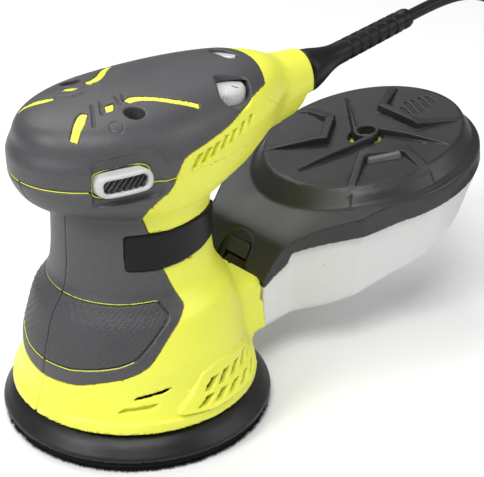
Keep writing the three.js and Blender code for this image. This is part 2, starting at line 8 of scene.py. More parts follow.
import bmesh
import bpy
import numpy as np
import openvdb
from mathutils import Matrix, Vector

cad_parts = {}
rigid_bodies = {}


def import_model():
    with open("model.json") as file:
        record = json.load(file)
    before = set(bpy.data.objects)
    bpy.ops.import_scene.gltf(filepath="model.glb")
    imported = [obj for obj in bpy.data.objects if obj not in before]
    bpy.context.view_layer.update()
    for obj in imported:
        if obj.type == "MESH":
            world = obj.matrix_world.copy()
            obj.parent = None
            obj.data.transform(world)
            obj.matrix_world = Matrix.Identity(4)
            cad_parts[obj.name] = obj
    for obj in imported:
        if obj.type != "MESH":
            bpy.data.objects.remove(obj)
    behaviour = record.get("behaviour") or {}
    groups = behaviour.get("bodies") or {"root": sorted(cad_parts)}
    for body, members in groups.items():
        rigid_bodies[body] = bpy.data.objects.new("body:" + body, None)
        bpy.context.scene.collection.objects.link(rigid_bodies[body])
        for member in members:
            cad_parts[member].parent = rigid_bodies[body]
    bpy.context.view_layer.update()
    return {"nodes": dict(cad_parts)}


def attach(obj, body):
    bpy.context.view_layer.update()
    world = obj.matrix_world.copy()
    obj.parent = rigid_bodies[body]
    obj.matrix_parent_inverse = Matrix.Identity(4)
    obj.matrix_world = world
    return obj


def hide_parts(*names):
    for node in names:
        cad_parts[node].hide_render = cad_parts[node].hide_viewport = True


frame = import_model()
MM = 0.001
RNG = np.random.default_rng(7)

# ---- camera: left, above and in front of the sander, with a long lens ----
AZIMUTH, ELEVATION, DISTANCE = math.radians(-42.44), math.radians(28.04), 0.7101
TARGET = Vector((0.0675, 0.0, 0.05885))


def make_camera():
    data = bpy.data.cameras.new("camera")
    data.sensor_width = 36.0
    data.lens = 109.9
    data.clip_start, data.clip_end = 0.05, 20.0
    camera = bpy.data.objects.new("camera", data)
    bpy.context.scene.collection.objects.link(camera)
    back = Vector((math.sin(AZIMUTH) * math.cos(ELEVATION), -math.cos(AZIMUTH) * math.cos(ELEVATION),
                   math.sin(ELEVATION)))
    camera.location = TARGET + back * DISTANCE
    camera.rotation_euler = back.to_track_quat("Z", "Y").to_euler()
    bpy.context.scene.camera = camera


make_camera()

# ---- cord: from the guard down behind the sander, twelve turns in a coil, then to the plug ----
CORD_DIAMETER, CORD_LENGTH = 6.0, 2.9  # millimetres, metres
ROUTE = [
    (179.4, 0, 143.9), (197, 0, 146.2), (214, -1, 147.6), (229, -4, 146.2), (240, -9, 140.6), (246, -15, 130),
    (248.5, -21, 116), (249, -27, 98), (248, -33, 80), (246, -39, 64), (243, -45, 50), (239, -52, 38.5),
    (235.4, -60, 31),
]
TAIL = [(322, -47.4, 4.4), (322, -42, 4.9), (322, -36.4, 6.6), (322, -31, 8.2)]
COIL_X, COIL_Y, COIL_INNER, COIL_PITCH = 276, -72, 25, 6
LAYER_HEIGHTS = [22.4, 16.4, 10.4, 4.4]
TURNS_PER_LAYER, POINTS_PER_TURN = 3, 20
STEP_DOWN = 0.09      # the part of a layer in which the cord steps down to it
ENTRY_TURN, ENTRY_DROP = 0.25, 8.6


def coil_points():
    """Four layers of three turns, wound outside in and inside out by turns, then half a turn more."""
    points = []
    wound = TURNS_PER_LAYER * COIL_PITCH
    outer = COIL_INNER + wound
    total = TURNS_PER_LAYER * len(LAYER_HEIGHTS)
    for i in range(total * POINTS_PER_TURN + POINTS_PER_TURN // 2 + 1):
        turn = i / POINTS_PER_TURN
        angle = math.pi + 2 * math.pi * turn
        layer = min(int(turn / TURNS_PER_LAYER), len(LAYER_HEIGHTS) - 1)
        part = min(turn / TURNS_PER_LAYER - layer, 1.0)
        radius = outer - wound * part if layer % 2 == 0 else COIL_INNER + wound * part
        height = LAYER_HEIGHTS[layer]
        if layer > 0 and part < STEP_DOWN:
            height += COIL_PITCH * 0.5 * (1 + math.cos(math.pi * part / STEP_DOWN))
        if turn < ENTRY_TURN:
            height += ENTRY_DROP * (1 - turn / ENTRY_TURN) ** 2
        if turn > total:
            radius = outer + COIL_PITCH * (turn - total)
        points.append((COIL_X + radius * math.cos(angle), COIL_Y + radius * math.sin(angle), height))
    return points


def cord_path(count=1200):
    """Evenly spaced points in millimetres on the cubic spline that the route's points steer."""
    steer = np.array(ROUTE[:-1] + coil_points() + TAIL, float)
    steer = np.concatenate([steer[:1], steer[:1], steer, steer[-1:], steer[-1:]])
    t = np.linspace(0, 1, 8, endpoint=False)[:, None]
    spans = [((1 - t) ** 3 * steer[i] + (3 * t ** 3 - 6 * t ** 2 + 4) * steer[i + 1]
              + (-3 * t ** 3 + 3 * t ** 2 + 3 * t + 1) * steer[i + 2] + t ** 3 * steer[i + 3]) / 6
             for i in range(len(steer) - 3)]
    return resample(np.concatenate(spans + [steer[-1:]]), count)


def make_cord():
    path = cord_path()
    return tube("mains_cord", path, CORD_DIAMETER / 2, 16), path * MM


# ---- distance fields: negative inside, in millimetres, all on numpy arrays ----
def smooth_min(a, b, k):
    h = np.clip(0.5 + 0.5 * (b - a) / k, 0, 1)
    return b + (a - b) * h - k * h * (1 - h)


def smooth_max(a, b, k):
    return -smooth_min(-a, -b, k)


def smoothstep(v, low, high):
    t = np.clip((v - low) / (high - low), 0, 1)
    return t * t * (3 - 2 * t)


class Curve:
    """A smooth monotone curve through (x, y) points, looked up with its slope."""

    def __init__(self, points, samples=900):
        xs, ys = np.array(points, float).T
        steps = np.diff(xs)
        slopes = np.diff(ys) / steps
        tangent = np.zeros_like(ys)
        tangent[0], tangent[-1] = slopes[0], slopes[-1]
        for i in range(1, len(xs) - 1):
            before, after = slopes[i - 1], slopes[i]
            if before * after > 0:
                w1, w2 = 2 * steps[i] + steps[i - 1], steps[i] + 2 * steps[i - 1]
                tangent[i] = (w1 + w2) / (w1 / before + w2 / after)
        t = np.linspace(xs[0], xs[-1], samples)
        i = np.clip(np.searchsorted(xs, t, "right") - 1, 0, len(steps) - 1)
        u = (t - xs[i]) / steps[i]
        self.at = t
        self.value = ((2 * u ** 3 - 3 * u ** 2 + 1) * ys[i] + (u ** 3 - 2 * u ** 2 + u) * steps[i] * tangent[i]
                      + (3 * u ** 2 - 2 * u ** 3) * ys[i + 1] + (u ** 3 - u ** 2) * steps[i] * tangent[i + 1])
        self.rise = np.gradient(self.value, t)

    def __call__(self, q):
        return np.interp(q, self.at, self.value)

    def slope(self, q):
        return np.interp(q, self.at, self.rise)


def rounded(points, radius, steps=6):
    """A closed outline with its corners rounded by about radius."""
    p = np.array(points, float)
    out = []
    for i in range(len(p)):
        before, here, after = p[i - 1], p[i], p[(i + 1) % len(p)]
        a, b = before - here, after - here
        la, lb = np.hypot(*a), np.hypot(*b)
        start = here + a * min(radius / la, 0.48)
        end = here + b * min(radius / lb, 0.48)
        for j in range(steps + 1):
            t = j / steps
            out.append((1 - t) ** 2 * start + 2 * t * (1 - t) * here + t ** 2 * end)
    return np.array(out)


class FlatMap:
    """The signed distance to closed outlines in a plane, looked up by bilinear interpolation."""

    def __init__(self, outlines, low, high, step=0.3):
        self.low, self.step = low, step
        u, v = np.meshgrid(np.arange(low[0], high[0] + step, step), np.arange(low[1], high[1] + step, step),
                           indexing="ij")
        best = np.full(u.shape, 1e3)
        for outline in outlines:
            near = np.full(u.shape, 1e6)
            odd = np.zeros(u.shape, bool)
            for (ax, ay), (bx, by) in zip(outline, np.roll(outline, -1, 0)):
                dx, dy = bx - ax, by - ay
                length2 = dx * dx + dy * dy
                if length2 < 1e-12:
                    continue
                t = np.clip(((u - ax) * dx + (v - ay) * dy) / length2, 0, 1)
                near = np.minimum(near, (u - ax - t * dx) ** 2 + (v - ay - t * dy) ** 2)
                if ay != by:
                    odd ^= ((ay > v) != (by > v)) & (u < ax + (v - ay) * dx / dy)
            distance = np.sqrt(near)
            best = np.minimum(best, np.where(odd, -distance, distance))
        self.values = best

    def __call__(self, u, v):
        shape = self.values.shape
        fu = np.clip((u - self.low[0]) / self.step, 0, shape[0] - 1.001)
        fv = np.clip((v - self.low[1]) / self.step, 0, shape[1] - 1.001)
        i, j = fu.astype(int), fv.astype(int)
        fu, fv = fu - i, fv - j
        g = self.values
        return ((g[i, j] * (1 - fu) + g[i + 1, j] * fu) * (1 - fv)
                + (g[i, j + 1] * (1 - fu) + g[i + 1, j + 1] * fu) * fv)


def strip(points):
    """The outline of a strip along (x, y, width) points."""
    p = np.array(points, float)
    along = np.gradient(p[:, :2], axis=0)
    along /= np.hypot(along[:, 0], along[:, 1])[:, None]
    side = np.stack([-along[:, 1], along[:, 0]], 1) * p[:, 2:] / 2
    return np.concatenate([p[:, :2] + side, (p[:, :2] - side)[::-1]])


# ---- the outside of the body ----
SKIRT_BOTTOM, PARTING = 16.4, 129.0
PORT_END, NECK_END, NECK_AXIS = 59.6, 104.0, 134.2
RADIUS = Curve([(10, 56.9), (16.4, 56.5), (20.6, 55.9), (21.5, 55.0), (24, 53.8), (34, 50.9), (42, 49.9),
                (52.4, 47.3), (61.9, 44.3), (68.4, 39.7), (75.6, 36.2), (88, 34.7), (118, 34.1), (130, 34)])

HEAD_HEIGHTS = [106.5, 108.4, 110.6, 112.8, 120, 129, 136, 142, 147, 151.4, 154.4, 156, 158.5]
HALF2 = Curve(list(zip(HEAD_HEIGHTS, [-500, 560, 1197, 1369, 1552, 1616, 1616, 1490, 1300, 985, 540, 170,
                                      -420])))
FRONT_Q = Curve(list(zip(HEAD_HEIGHTS, [1, 1, 0.977, 0.740, 0.583, 0.530, 0.5265, 0.5305, 0.49, 0.43, 0.37,
                                        0.35, 0.35])))
REAR_Q = Curve(list(zip(HEAD_HEIGHTS, [1, 1, 0.924, 0.594, 0.336, 0.2525, 0.2263, 0.2093, 0.1896, 0.1647,
                                       0.1239, 0.0977, 0.09])))

# sections of the neck: distance back, lowest, highest, half width
NECK = [(0, 109, 150, 33), (18, 109, 150, 32), (36, 107.6, 150, 30), (50, 110, 149.8, 25),
        (65, 112.6, 149, 20.4), (80, 114.4, 148.2, 15.8), (93, 115.6, 147.4, 12.6), (104, 118.6, 146.4, 10.9),
        (120, 124, 145, 10)]
NECK_LOW, NECK_HIGH, NECK_HALF = (Curve([(row[0], row[k]) for row in NECK]) for k in (1, 2, 3))


def head_field(x, y, z):
    front = x < 0
    q = np.where(front, FRONT_Q(z), REAR_Q(z))
    q_slope = np.where(front, FRONT_Q.slope(z), REAR_Q.slope(z))
    value = q * x * x + y * y - HALF2(z)
    rise = q_slope * x * x - HALF2.slope(z)
    return value / np.sqrt(4 * q * q * x * x + 4 * y * y + rise * rise + 1e-3)


def neck_field(x, y, z):
    low, high, half = NECK_LOW(x), NECK_HIGH(x), NECK_HALF(x)
    middle, tall = (low + high) / 2, (high - low) / 2
    middle_slope = (NECK_LOW.slope(x) + NECK_HIGH.slope(x)) / 2
    tall_slope = (NECK_HIGH.slope(x) - NECK_LOW.slope(x)) / 2
    v = z - middle
    value = (y / half) ** 2 + (v / tall) ** 2 - 1
    gx = (-2 * y * y * NECK_HALF.slope(x) / half ** 3 - 2 * v * middle_slope / tall ** 2
          - 2 * v * v * tall_slope / tall ** 3)
    distance = value / np.sqrt(gx * gx + (2 * y / half ** 2) ** 2 + (2 * v / tall ** 2) ** 2 + 1e-9)
    lobe_end = (x - 99.5) * 0.92 + (PARTING - 0.6 - z) * 0.4
    end = np.where(z > PARTING - 0.6, x - NECK_END, np.maximum(x - NECK_END, lobe_end))
    return smooth_max(smooth_max(distance, end, 2.0), 8 - x, 2.0)


def port_field(x, y, z):
    half = 25.5 - 3.5 * np.clip((z - 25) / 21, 0, 1.3)
    top = 49
    u, v = np.abs(y) - half + 4, np.abs(z - (22 + top) / 2) - (top - 22) / 2 + 4
    side = np.hypot(np.maximum(u, 0), np.maximum(v, 0)) + np.minimum(np.maximum(u, v), 0) - 4
    return np.maximum(side, np.maximum(x - PORT_END, 10 - x))


def body_open(x, y, z):
    """The body without its flat bottom."""
    r = np.hypot(x, y)
    barrel = (r - RADIUS(z)) / np.sqrt(1 + RADIUS.slope(z) ** 2)
    barrel = np.maximum(barrel, z - 124)
    top = smooth_min(head_field(x, y, z), neck_field(x, y, z), 6)
    whole = smooth_min(barrel, top, 1.6 + 7 * smoothstep(x, -8, 28))
    return smooth_min(whole, port_field(x, y, z), 6)


def body(x, y, z):
    return np.maximum(body_open(x, y, z), SKIRT_BOTTOM - z)


# ---- outlines on the body's right side, as (degrees from the rear, height); the left side mirrors them ----
ARC = 45.0            # an outline is unrolled at this radius


def unrolled(points):
    return [(math.radians(angle) * ARC, z) for angle, z in points]


FRONT_OUTLINE = rounded(unrolled([
    (196, 33.4), (178, 33.6), (158.4, 35.1), (143.4, 38.9), (133.4, 40.9), (125.4, 43.5), (119.5, 46.5),
    (108, 57.9), (93.6, 67.6), (104.3, 84.3), (114.9, 103.6), (119.4, 111.5), (116, 117), (109, 120.8),
    (101.1, 124.1), (97.4, 128.8), (97, 132), (196, 132)]), 2.0)
INSET_OUTLINE = rounded(unrolled([
    (190, 40.6), (177.8, 41), (162, 41.7), (145.5, 44.3), (135.3, 46.2), (126.1, 49.2), (113.3, 60),
    (105.2, 65.8), (111.2, 71.9), (136, 71.2), (163, 71), (190, 71)]), 1.8)
BADGE_OUTLINE = rounded(unrolled([
    (132, 85.6), (132, 102.2), (114.9, 102.5), (96, 102.2), (76.9, 102.4), (56.8, 102.5), (38, 102),
    (36, 89), (59, 88), (69, 86.9), (90.7, 85.6), (107, 85.2)]), 2.2)
FRONT_MAP = FlatMap([FRONT_OUTLINE], (0, 14), (160, 136))
INSET_MAP = FlatMap([INSET_OUTLINE], (0, 34), (160, 78))
BADGE_MAP = FlatMap([BADGE_OUTLINE], (0, 80), (160, 110))

# yellow strips set in the top, in plan (x, y outwards), and what is sunk round them
INLAY_OUTLINES = [
    rounded(strip([(-41.4, 19.4, 3.4), (-37.8, 16.9, 3.6), (-34.4, 14.5, 4.4), (-31.6, 12.2, 4.2),
                   (-28.8, 10.6, 2.6)]), 0.7),
    rounded([(-21.9, 15.5), (-18.3, 16.3), (-14.7, 11.4), (-19.2, 11.3)], 0.4),
    rounded(strip([(-9.6, 13.6, 3.6), (-6.4, 13.4, 4.4), (-3.2, 14.6, 4.0), (1.0, 17.6, 3.4), (8, 24, 3.3),
                   (15.8, 30.2, 3.0)]), 0.6),
]
TOP_PLAN = ((-60, -2), (40, 44), 0.2)
INLAY_MAP = FlatMap(INLAY_OUTLINES, *TOP_PLAN)
GROOVES = [[(-22.3, 6.8, 0.9), (-31.6, 20.2, 0.9)], [(-18, 6.6, 0.8), (-24.3, 16.2, 0.8)],
           [(-10.2, 7.2, 0.9), (-13.4, 13.9, 0.9)], [(-7, 7.4, 0.8), (-10.6, 13.2, 0.8)]]
GROOVE_MAP = FlatMap([strip(groove) for groove in GROOVES], *TOP_PLAN)
INLAY_FLOOR = 138     # the inlays and grooves are all above this height
SCREW_X, SCREW_Y, SCREW_HOLE = -12.2, 22.1, 4.3

# the edge of the soft top in side view, (x, z): soft above the line
TOP_LINE = Curve([(-80, 129.0), (-6.2, 129.0), (-4.6, 130.6), (-2.2, 134.6), (-0.2, 136.6), (3, 137.5),
                  (8, 138.4), (20.6, 140.6), (35.1, 143), (45.5, 144.5), (52.5, 145.3)], 1400)


def top_outline(x, y, z):
    """Signed distance to the edge of the soft top, negative on it."""
    side = (TOP_LINE(x) - z) / np.sqrt(1 + TOP_LINE.slope(x) ** 2)
    rear = x - (67.3 - 0.014 * y * y) + np.maximum(0, np.abs(y) - 24) * 1.6
    return smooth_max(side, rear, 2.5)


def angle_arc(x, y):
    return np.arctan2(np.abs(y), x) * ARC


def outside(x, y, z):
    """The body with its scoops: round the switch and the dial."""
    d = body(x, y, z)
    return scoop(d, x, y, z)


SWITCH_X, SWITCH_Z, SWITCH_TILT = -27.7, 131.7, 0.09
DIAL_X, DIAL_Y = 40.0, -17.0


def switch_plane(x, z):
    """Along and up on the switch's tilted face."""
    dx, dz = x - SWITCH_X, z - SWITCH_Z
    return dx + dz * SWITCH_TILT, dz - dx * SWITCH_TILT


def lozenge(x, z, width, height, corner=4.4):
    u, v = switch_plane(x, z)
    corner = min(corner, height / 2)
    a, b = np.abs(u) - width / 2 + corner, np.abs(v) - height / 2 + corner
    return np.hypot(np.maximum(a, 0), np.maximum(b, 0)) + np.minimum(np.maximum(a, b), 0) - corner


def box_field(x, y, z, half, radius):
    u, v, w = np.abs(x) - half[0] + radius, np.abs(y) - half[1] + radius, np.abs(z) - half[2] + radius
    out = np.sqrt(np.maximum(u, 0) ** 2 + np.maximum(v, 0) ** 2 + np.maximum(w, 0) ** 2)
    return out + np.minimum(np.maximum(u, np.maximum(v, w)), 0) - radius


def scoop(d, x, y, z):
    # finger scoops on both sides of the switch's ends
    s, c = math.sin(-0.42), math.cos(-0.42)
    dx, dy = x - SWITCH_X, np.abs(y) - 36.2
    u, v = dx * c - dy * s, dx * s + dy * c
    w = z - SWITCH_Z - 0.09 * dx
    cutter = box_field(u - 1.0, v + 0.2, w - 1.0, (15.6, 4.6, 11.0), 2.0)
    d = smooth_max(d, -cutter, 1.0)
    # pocket for the dial, open to the right
    dx, dy = x - DIAL_X, y + 25.5
    s, c = math.sin(0.55), math.cos(0.55)
    u, v = dx * c - dy * s, dx * s + dy * c
    pocket = box_field(u + 0.4, v + 1.0, z - 152.6, (7.6, 10.0, 7.5), 3.6)
    return smooth_max(d, -pocket, 1.2)


# ---- from a distance field to a mesh ----
def mesh_arrays(field, low, high, step, adaptivity=0.0):
    low = np.floor(np.array(low, float) - 3 * step)
    block = 8
    count = np.ceil((np.array(high) + 3 * step - low) / step / block).astype(int)
    centres = [low[a] + (np.arange(count[a]) + 0.5) * block * step for a in range(3)]
    grid = np.stack(np.meshgrid(*centres, indexing="ij"), -1).reshape(-1, 3)
    coarse = field(grid[:, 0], grid[:, 1], grid[:, 2]).astype(np.float32)
    near = np.abs(coarse) < 9.5 * step
    far = 3 * step
    values = np.where(coarse > 0, far, -far).astype(np.float32)
    values = np.repeat(values[:, None], block ** 3, 1)
    local = np.stack(np.meshgrid(*[np.arange(block)] * 3, indexing="ij"), -1).reshape(-1, 3)
    starts = np.stack(np.meshgrid(*[np.arange(n) * block for n in count], indexing="ij"), -1).reshape(-1, 3)
    chosen = np.nonzero(near)[0]
    for part in np.array_split(chosen, max(1, len(chosen) // 1500)):
        index = (starts[part][:, None, :] + local[None]).reshape(-1, 3)
        p = low + index * step
        v = field(p[:, 0], p[:, 1], p[:, 2])
        values[part] = np.clip(v, -far, far).reshape(len(part), -1)
    shape = tuple(int(n) for n in count)
    dense = values.reshape(*shape, block, block, block).transpose(0, 3, 1, 4, 2, 5)
    dense = np.ascontiguousarray(dense.reshape([n * block for n in shape]))
    volume = openvdb.FloatGrid(float(far))
    volume.copyFromArray(dense)
    points, triangles, quads = volume.convertToPolygons(isovalue=0.0, adaptivity=adaptivity)
    points = low + points.astype(float) * step
    return points, triangles, quads


def gradient(field, p, eps):
    x, y, z = p.T
    g = np.stack([field(x + eps, y, z) - field(x - eps, y, z), field(x, y + eps, z) - field(x, y - eps, z),
                  field(x, y, z + eps) - field(x, y, z - eps)], 1)
    return g / (2 * eps)


def add_mesh(name, points, triangles, quads, normals=None):
    """A mesh object from arrays, in millimetres."""
    mesh = bpy.data.meshes.new(name)
    faces = [np.asarray(f, int).reshape(-1, n) for f, n in ((triangles, 3), (quads, 4)) if len(f)]
    loops = np.concatenate([f.ravel() for f in faces]).astype(np.int32)
    sizes = np.concatenate([np.full(len(f), f.shape[1]) for f in faces])
    starts = np.concatenate([[0], np.cumsum(sizes)[:-1]]).astype(np.int32)
    mesh.vertices.add(len(points))
    mesh.vertices.foreach_set("co", (np.asarray(points) * MM).astype(np.float32).ravel())
    mesh.loops.add(len(loops))
    mesh.loops.foreach_set("vertex_index", loops)
    mesh.polygons.add(len(starts))
    mesh.polygons.foreach_set("loop_start", starts)
    mesh.update(calc_edges=True)
    mesh.validate()
    mesh.shade_smooth()
    if normals is not None:
        mesh.normals_split_custom_set_from_vertices(normals.astype(np.float32))
    obj = bpy.data.objects.new(name, mesh)
    bpy.context.scene.collection.objects.link(obj)
    return obj


def solid(name, field, low, high, step=0.7, eps=0.12, adaptivity=0.0, skin=None):
    """A mesh of the field's zero surface inside a box, with its vertices pulled onto the surface.

    Where they lie on skin as well they are shaded as skin, so two pieces of one surface meet without a line.
    """
    points, triangles, quads = mesh_arrays(field, low, high, step, adaptivity)
    for _ in range(2):
        value = field(*points.T)
        slope = gradient(field, points, eps)
        length2 = np.maximum((slope ** 2).sum(1), 0.05)
        shift = slope * (value / length2)[:, None]
        size = np.sqrt((shift ** 2).sum(1))
        limit = 0.45 * step
        shift *= np.minimum(1, limit / np.maximum(size, 1e-9))[:, None]
        points = points - shift
    normals = gradient(field, points, eps)
    if skin is not None:
        on_skin = np.abs(skin(*points.T)) < 0.08
        normals[on_skin] = gradient(skin, points[on_skin], eps)
    normals /= np.maximum(np.sqrt((normals ** 2).sum(1)), 1e-9)[:, None]
    faces = quads if len(quads) else triangles
    a, b, c = (points[faces[:, k]] for k in range(3))
    facing = (np.cross(b - a, c - a) * normals[faces[:, 0]]).sum()
    if facing < 0:
        triangles, quads = triangles[:, ::-1], quads[:, ::-1]
    return add_mesh(name, points, triangles, quads, normals)


def band_quads(rings, sides, closed=False):
    """Faces between rings of points that follow each other, the last joined to the first where closed."""
    here = np.arange(sides)
    beside = (here + 1) % sides
    quads = []
    for i in range(rings if closed else rings - 1):
        start, following = i * sides, (i + 1) % rings * sides
        quads.append(np.stack([here + start, beside + start, beside + following, here + following], 1))
    return np.concatenate(quads)


def lathe(name, profile, sides=96, centre=(0, 0), smooth_angle=0.5):
    """A turned piece about the vertical axis from (radius, height) pairs, closed at radius 0 or as a ring."""
    profile = np.array(profile, float)
    angle = np.linspace(0, 2 * math.pi, sides, endpoint=False)
    points = np.stack([centre[0] + profile[:, :1] * np.cos(angle), centre[1] + profile[:, :1] * np.sin(angle),
                       np.repeat(profile[:, 1:], sides, 1)], -1).reshape(-1, 3)
    quads = band_quads(len(profile), sides, closed=profile[0][0] > 0.01)
    obj = add_mesh(name, points, [], quads)
    weld_and_sharpen(obj, smooth_angle)
    return obj


def weld_and_sharpen(obj, angle=0.5):
    """Joins doubled points and marks edges sharper than the angle."""
    bm = bmesh.new()
    bm.from_mesh(obj.data)
    bmesh.ops.remove_doubles(bm, verts=bm.verts, dist=1e-6)
    bmesh.ops.dissolve_degenerate(bm, edges=bm.edges, dist=1e-6)
    bmesh.ops.recalc_face_normals(bm, faces=bm.faces)
    for edge in bm.edges:
        if len(edge.link_faces) == 2:
            edge.smooth = edge.calc_face_angle(0) < angle
    for face in bm.faces:
        face.smooth = True
    bm.to_mesh(obj.data)
    bm.free()


def tube(name, points, radius, sides=8, closed=False):
    """A round bead along a path in millimetres."""
    p = np.array(points, float)
    if closed:
        tangent = np.roll(p, -1, 0) - np.roll(p, 1, 0)
    else:
        tangent = np.gradient(p, axis=0)
    tangent /= np.sqrt((tangent ** 2).sum(1))[:, None]
    side = np.cross(tangent, (0.13, 0.21, 0.97))
    if not closed:
        for i in range(1, len(p)):
            side[i] = side[i - 1] - tangent[i] * (side[i - 1] @ tangent[i])
            side[i] /= np.sqrt(side[i] @ side[i])
    side /= np.sqrt((side ** 2).sum(1))[:, None]
    up = np.cross(side, tangent)
    angle = np.linspace(0, 2 * math.pi, sides, endpoint=False)
    rings = p[:, None] + radius * (side[:, None] * np.cos(angle)[None, :, None]
                                   + up[:, None] * np.sin(angle)[None, :, None])
    n = len(p)
    quads = band_quads(n, sides, closed)
    points = rings.reshape(-1, 3)
    triangles = []
    if not closed:
        points = np.concatenate([points, p[:1], p[-1:]])
        a = np.arange(sides)
        b = (a + 1) % sides
        triangles = np.concatenate([
            np.stack([np.full(sides, n * sides), b, a], 1),
            np.stack([np.full(sides, n * sides + 1), a + (n - 1) * sides, b + (n - 1) * sides], 1)])
    obj = add_mesh(name, points, triangles, quads)
    weld_and_sharpen(obj, 0.9)
    return obj


FINISH = {}


def fix(obj, body_name, slot, *nodes):
    """Rides a piece on its body, names its finish and hides the CAD nodes that it stands for."""
    FINISH[obj.name] = slot
    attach(obj, body_name)
    if nodes:
        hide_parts(*nodes)
    return obj


def build(name, field, low, high, step, place, **options):
    """Meshes a field inside a box and fixes the piece; place is its body, its finish and its CAD nodes."""
    return fix(solid(name, field, low, high, step, **options), *place)


def one_side(field, side):
    """A field that takes a side, held to one side."""
    return lambda x, y, z: field(x, y, z, side)


# ---- body pieces ----
def hollow(x, y, z):
    inner = scoop(body_open(x, y, z), x, y, z) + 3.2
    duct = np.maximum(np.maximum(np.abs(y) - 18, np.abs(z - 36) - 9), 30 - x)
    bore = np.maximum(np.hypot(y, z - NECK_AXIS) - 7, 95 - x)
    thin = inner - 1.3
    arc = angle_arc(x, y)
    slots = np.minimum(LATTICE_MAP(arc, z), SKIRT_SLOT_MAP(arc, z)) - 1.6
    low = np.where(z < 48, np.maximum(thin - 0.6, slots), 20)
    return np.minimum(np.minimum(inner, np.minimum(duct, bore)), low)


VENT_DEPTH, SCREW_FLOOR = 1.9, 133.6
VENTS = [(6.2, 133.0, 7.0), (11.4, 133.8, 7.0), (16.8, 134.8, 6.8), (22.6, 136.0, 6.4), (28.4, 137.0, 5.8),
         (34.8, 138.4, 5.0), (41.2, 139.7, 4.2)]
VENT_MAP = FlatMap([rounded([(x - 0.3 * n - 1.5, z - 0.4 * n), (x - 0.3 * n + 1.5, z - 0.4 * n),
                             (x + 0.3 * n + 1.5, z + 0.4 * n), (x + 0.3 * n - 1.5, z + 0.4 * n)], 0.3)
                    for x, z, n in VENTS], (-2, 122), (52, 148), 0.2)
SKIRT_SLOT = [(130.3, 30.4), (127.2, 32.3), (108.6, 35.2), (112.6, 33.0)]
SKIRT_SLOT_MAP = FlatMap([rounded(unrolled(SKIRT_SLOT), 0.4)],
                         (60, 18), (125, 40), 0.2)
LOUVRE_MAP = FlatMap([rounded(unrolled([(137.5, 24.9), (133.5, 27.3), (116.2, 28.8), (120.4, 26.3)]), 0.5)],
                     (60, 18), (125, 40), 0.2)
PANEL_MAP = FlatMap([rounded(unrolled([(108.6, 22.6), (108, 25.4), (102.8, 28.6), (92.6, 37.4), (82.6, 39.4),
                                       (66, 38.4), (54, 36.5), (48, 22), (70, 21.2), (91.4, 21)]), 1.2)],
                    (20, 14), (110, 48))


def lattice_outlines():
    holes = []
    for k in range(5):
        for foot, low, high, lean in ((91.8, 28.9, 33.4, 6.8), (96.4, 23.5, 27.1, 6.2)):
            left = foot - 9.1 * k
            rise = 0.25 * k if low > 25 else 0.0
            corners = [(left + 2.7, low + rise), (left - 2.3, low + rise), (left - 2.3 - lean, high + rise),
                       (left + 2.7 - lean, high + rise)]
            holes.append(rounded(unrolled(corners), 0.4))
    return holes


LATTICE_MAP = FlatMap(lattice_outlines(), (20, 14), (110, 48), 0.2)


def shell_outside(x, y, z):
    """The outside of the hard shell, with the raised vent panel, slots and grooves."""
    d = outside(x, y, z)
    arc = angle_arc(x, y)
    low = z < 48
    panel = PANEL_MAP(arc, z)
    d = d - np.where(low, (0.9 + 1.2 * smoothstep(-z, -38, -24)) * smoothstep(-panel, -0.2, 0.7), 0)
    d = np.where(low, smooth_max(d, -np.maximum(LATTICE_MAP(arc, z), -(d + 6)), 0.5), d)
    d = np.where(low, smooth_max(d, -np.maximum(SKIRT_SLOT_MAP(arc, z), -(d + 6)), 0.5), d)
    sunk = LOUVRE_MAP(arc, z)
    d = np.where(low, smooth_max(d, -np.maximum(sunk, -(d + 2.2)), 0.6), d)
    vent = np.maximum(VENT_MAP(x, z), -(d + VENT_DEPTH))
    d = np.where((z > 120) & (x > -4) & (np.abs(y) > 15), smooth_max(d, -vent, 0.4), d)
    return d


def crease(value, width, depth):
    """How much a groove along the zero line of value lowers the surface."""
    return depth * np.maximum(0, 1 - (value / width) ** 2)


def lower_shell(x, y, z, side):
    d = shell_outside(x, y, z)
    base = outside(x, y, z)
    arc = angle_arc(x, y)
    d = d + crease(y, 0.55, 0.5)
    soft = np.where(z > 30, FRONT_MAP(arc, z), 20)
    d = np.maximum(d, -np.maximum(soft, -(base + 1.7)))
    badge = np.where((z > 80) & (z < 110), BADGE_MAP(arc, z), 20)
    d = np.maximum(d, -np.maximum(badge - 0.1, -(base + 0.8)))
    d = np.maximum(d, -hollow(x, y, z))
    opening = np.maximum(lozenge(x, z, 23.0, 11.0), 18 - np.abs(y))
    d = np.maximum(d, -opening)
    d = np.maximum(d + 0.05 * smoothstep(z, 128.2, 128.9), z - (PARTING + 0.6))
    return np.maximum(d, -side * y + 0.08)


def screw_hole(x, y, z, grow=0.0):
    return np.maximum(np.hypot(x - SCREW_X, np.abs(y) - SCREW_Y) - SCREW_HOLE - grow, SCREW_FLOOR - z)


def dial_room(x, y, z, grow=0.0):
    """The clearance round the dial's wheel inside the cover."""
    return np.maximum(np.hypot(x - DIAL_X, y - DIAL_Y) - 11.0 - grow, np.abs(z - 146.9) - 4.9 - grow)


LENS_X = 58.0


def lens_field(x, y, z, grow=0.0):
    u = np.hypot(np.maximum(np.abs(y - 2.4) - 4.8, 0), x - LENS_X)
    return np.maximum(u - 2.6 - grow, 146 - z)


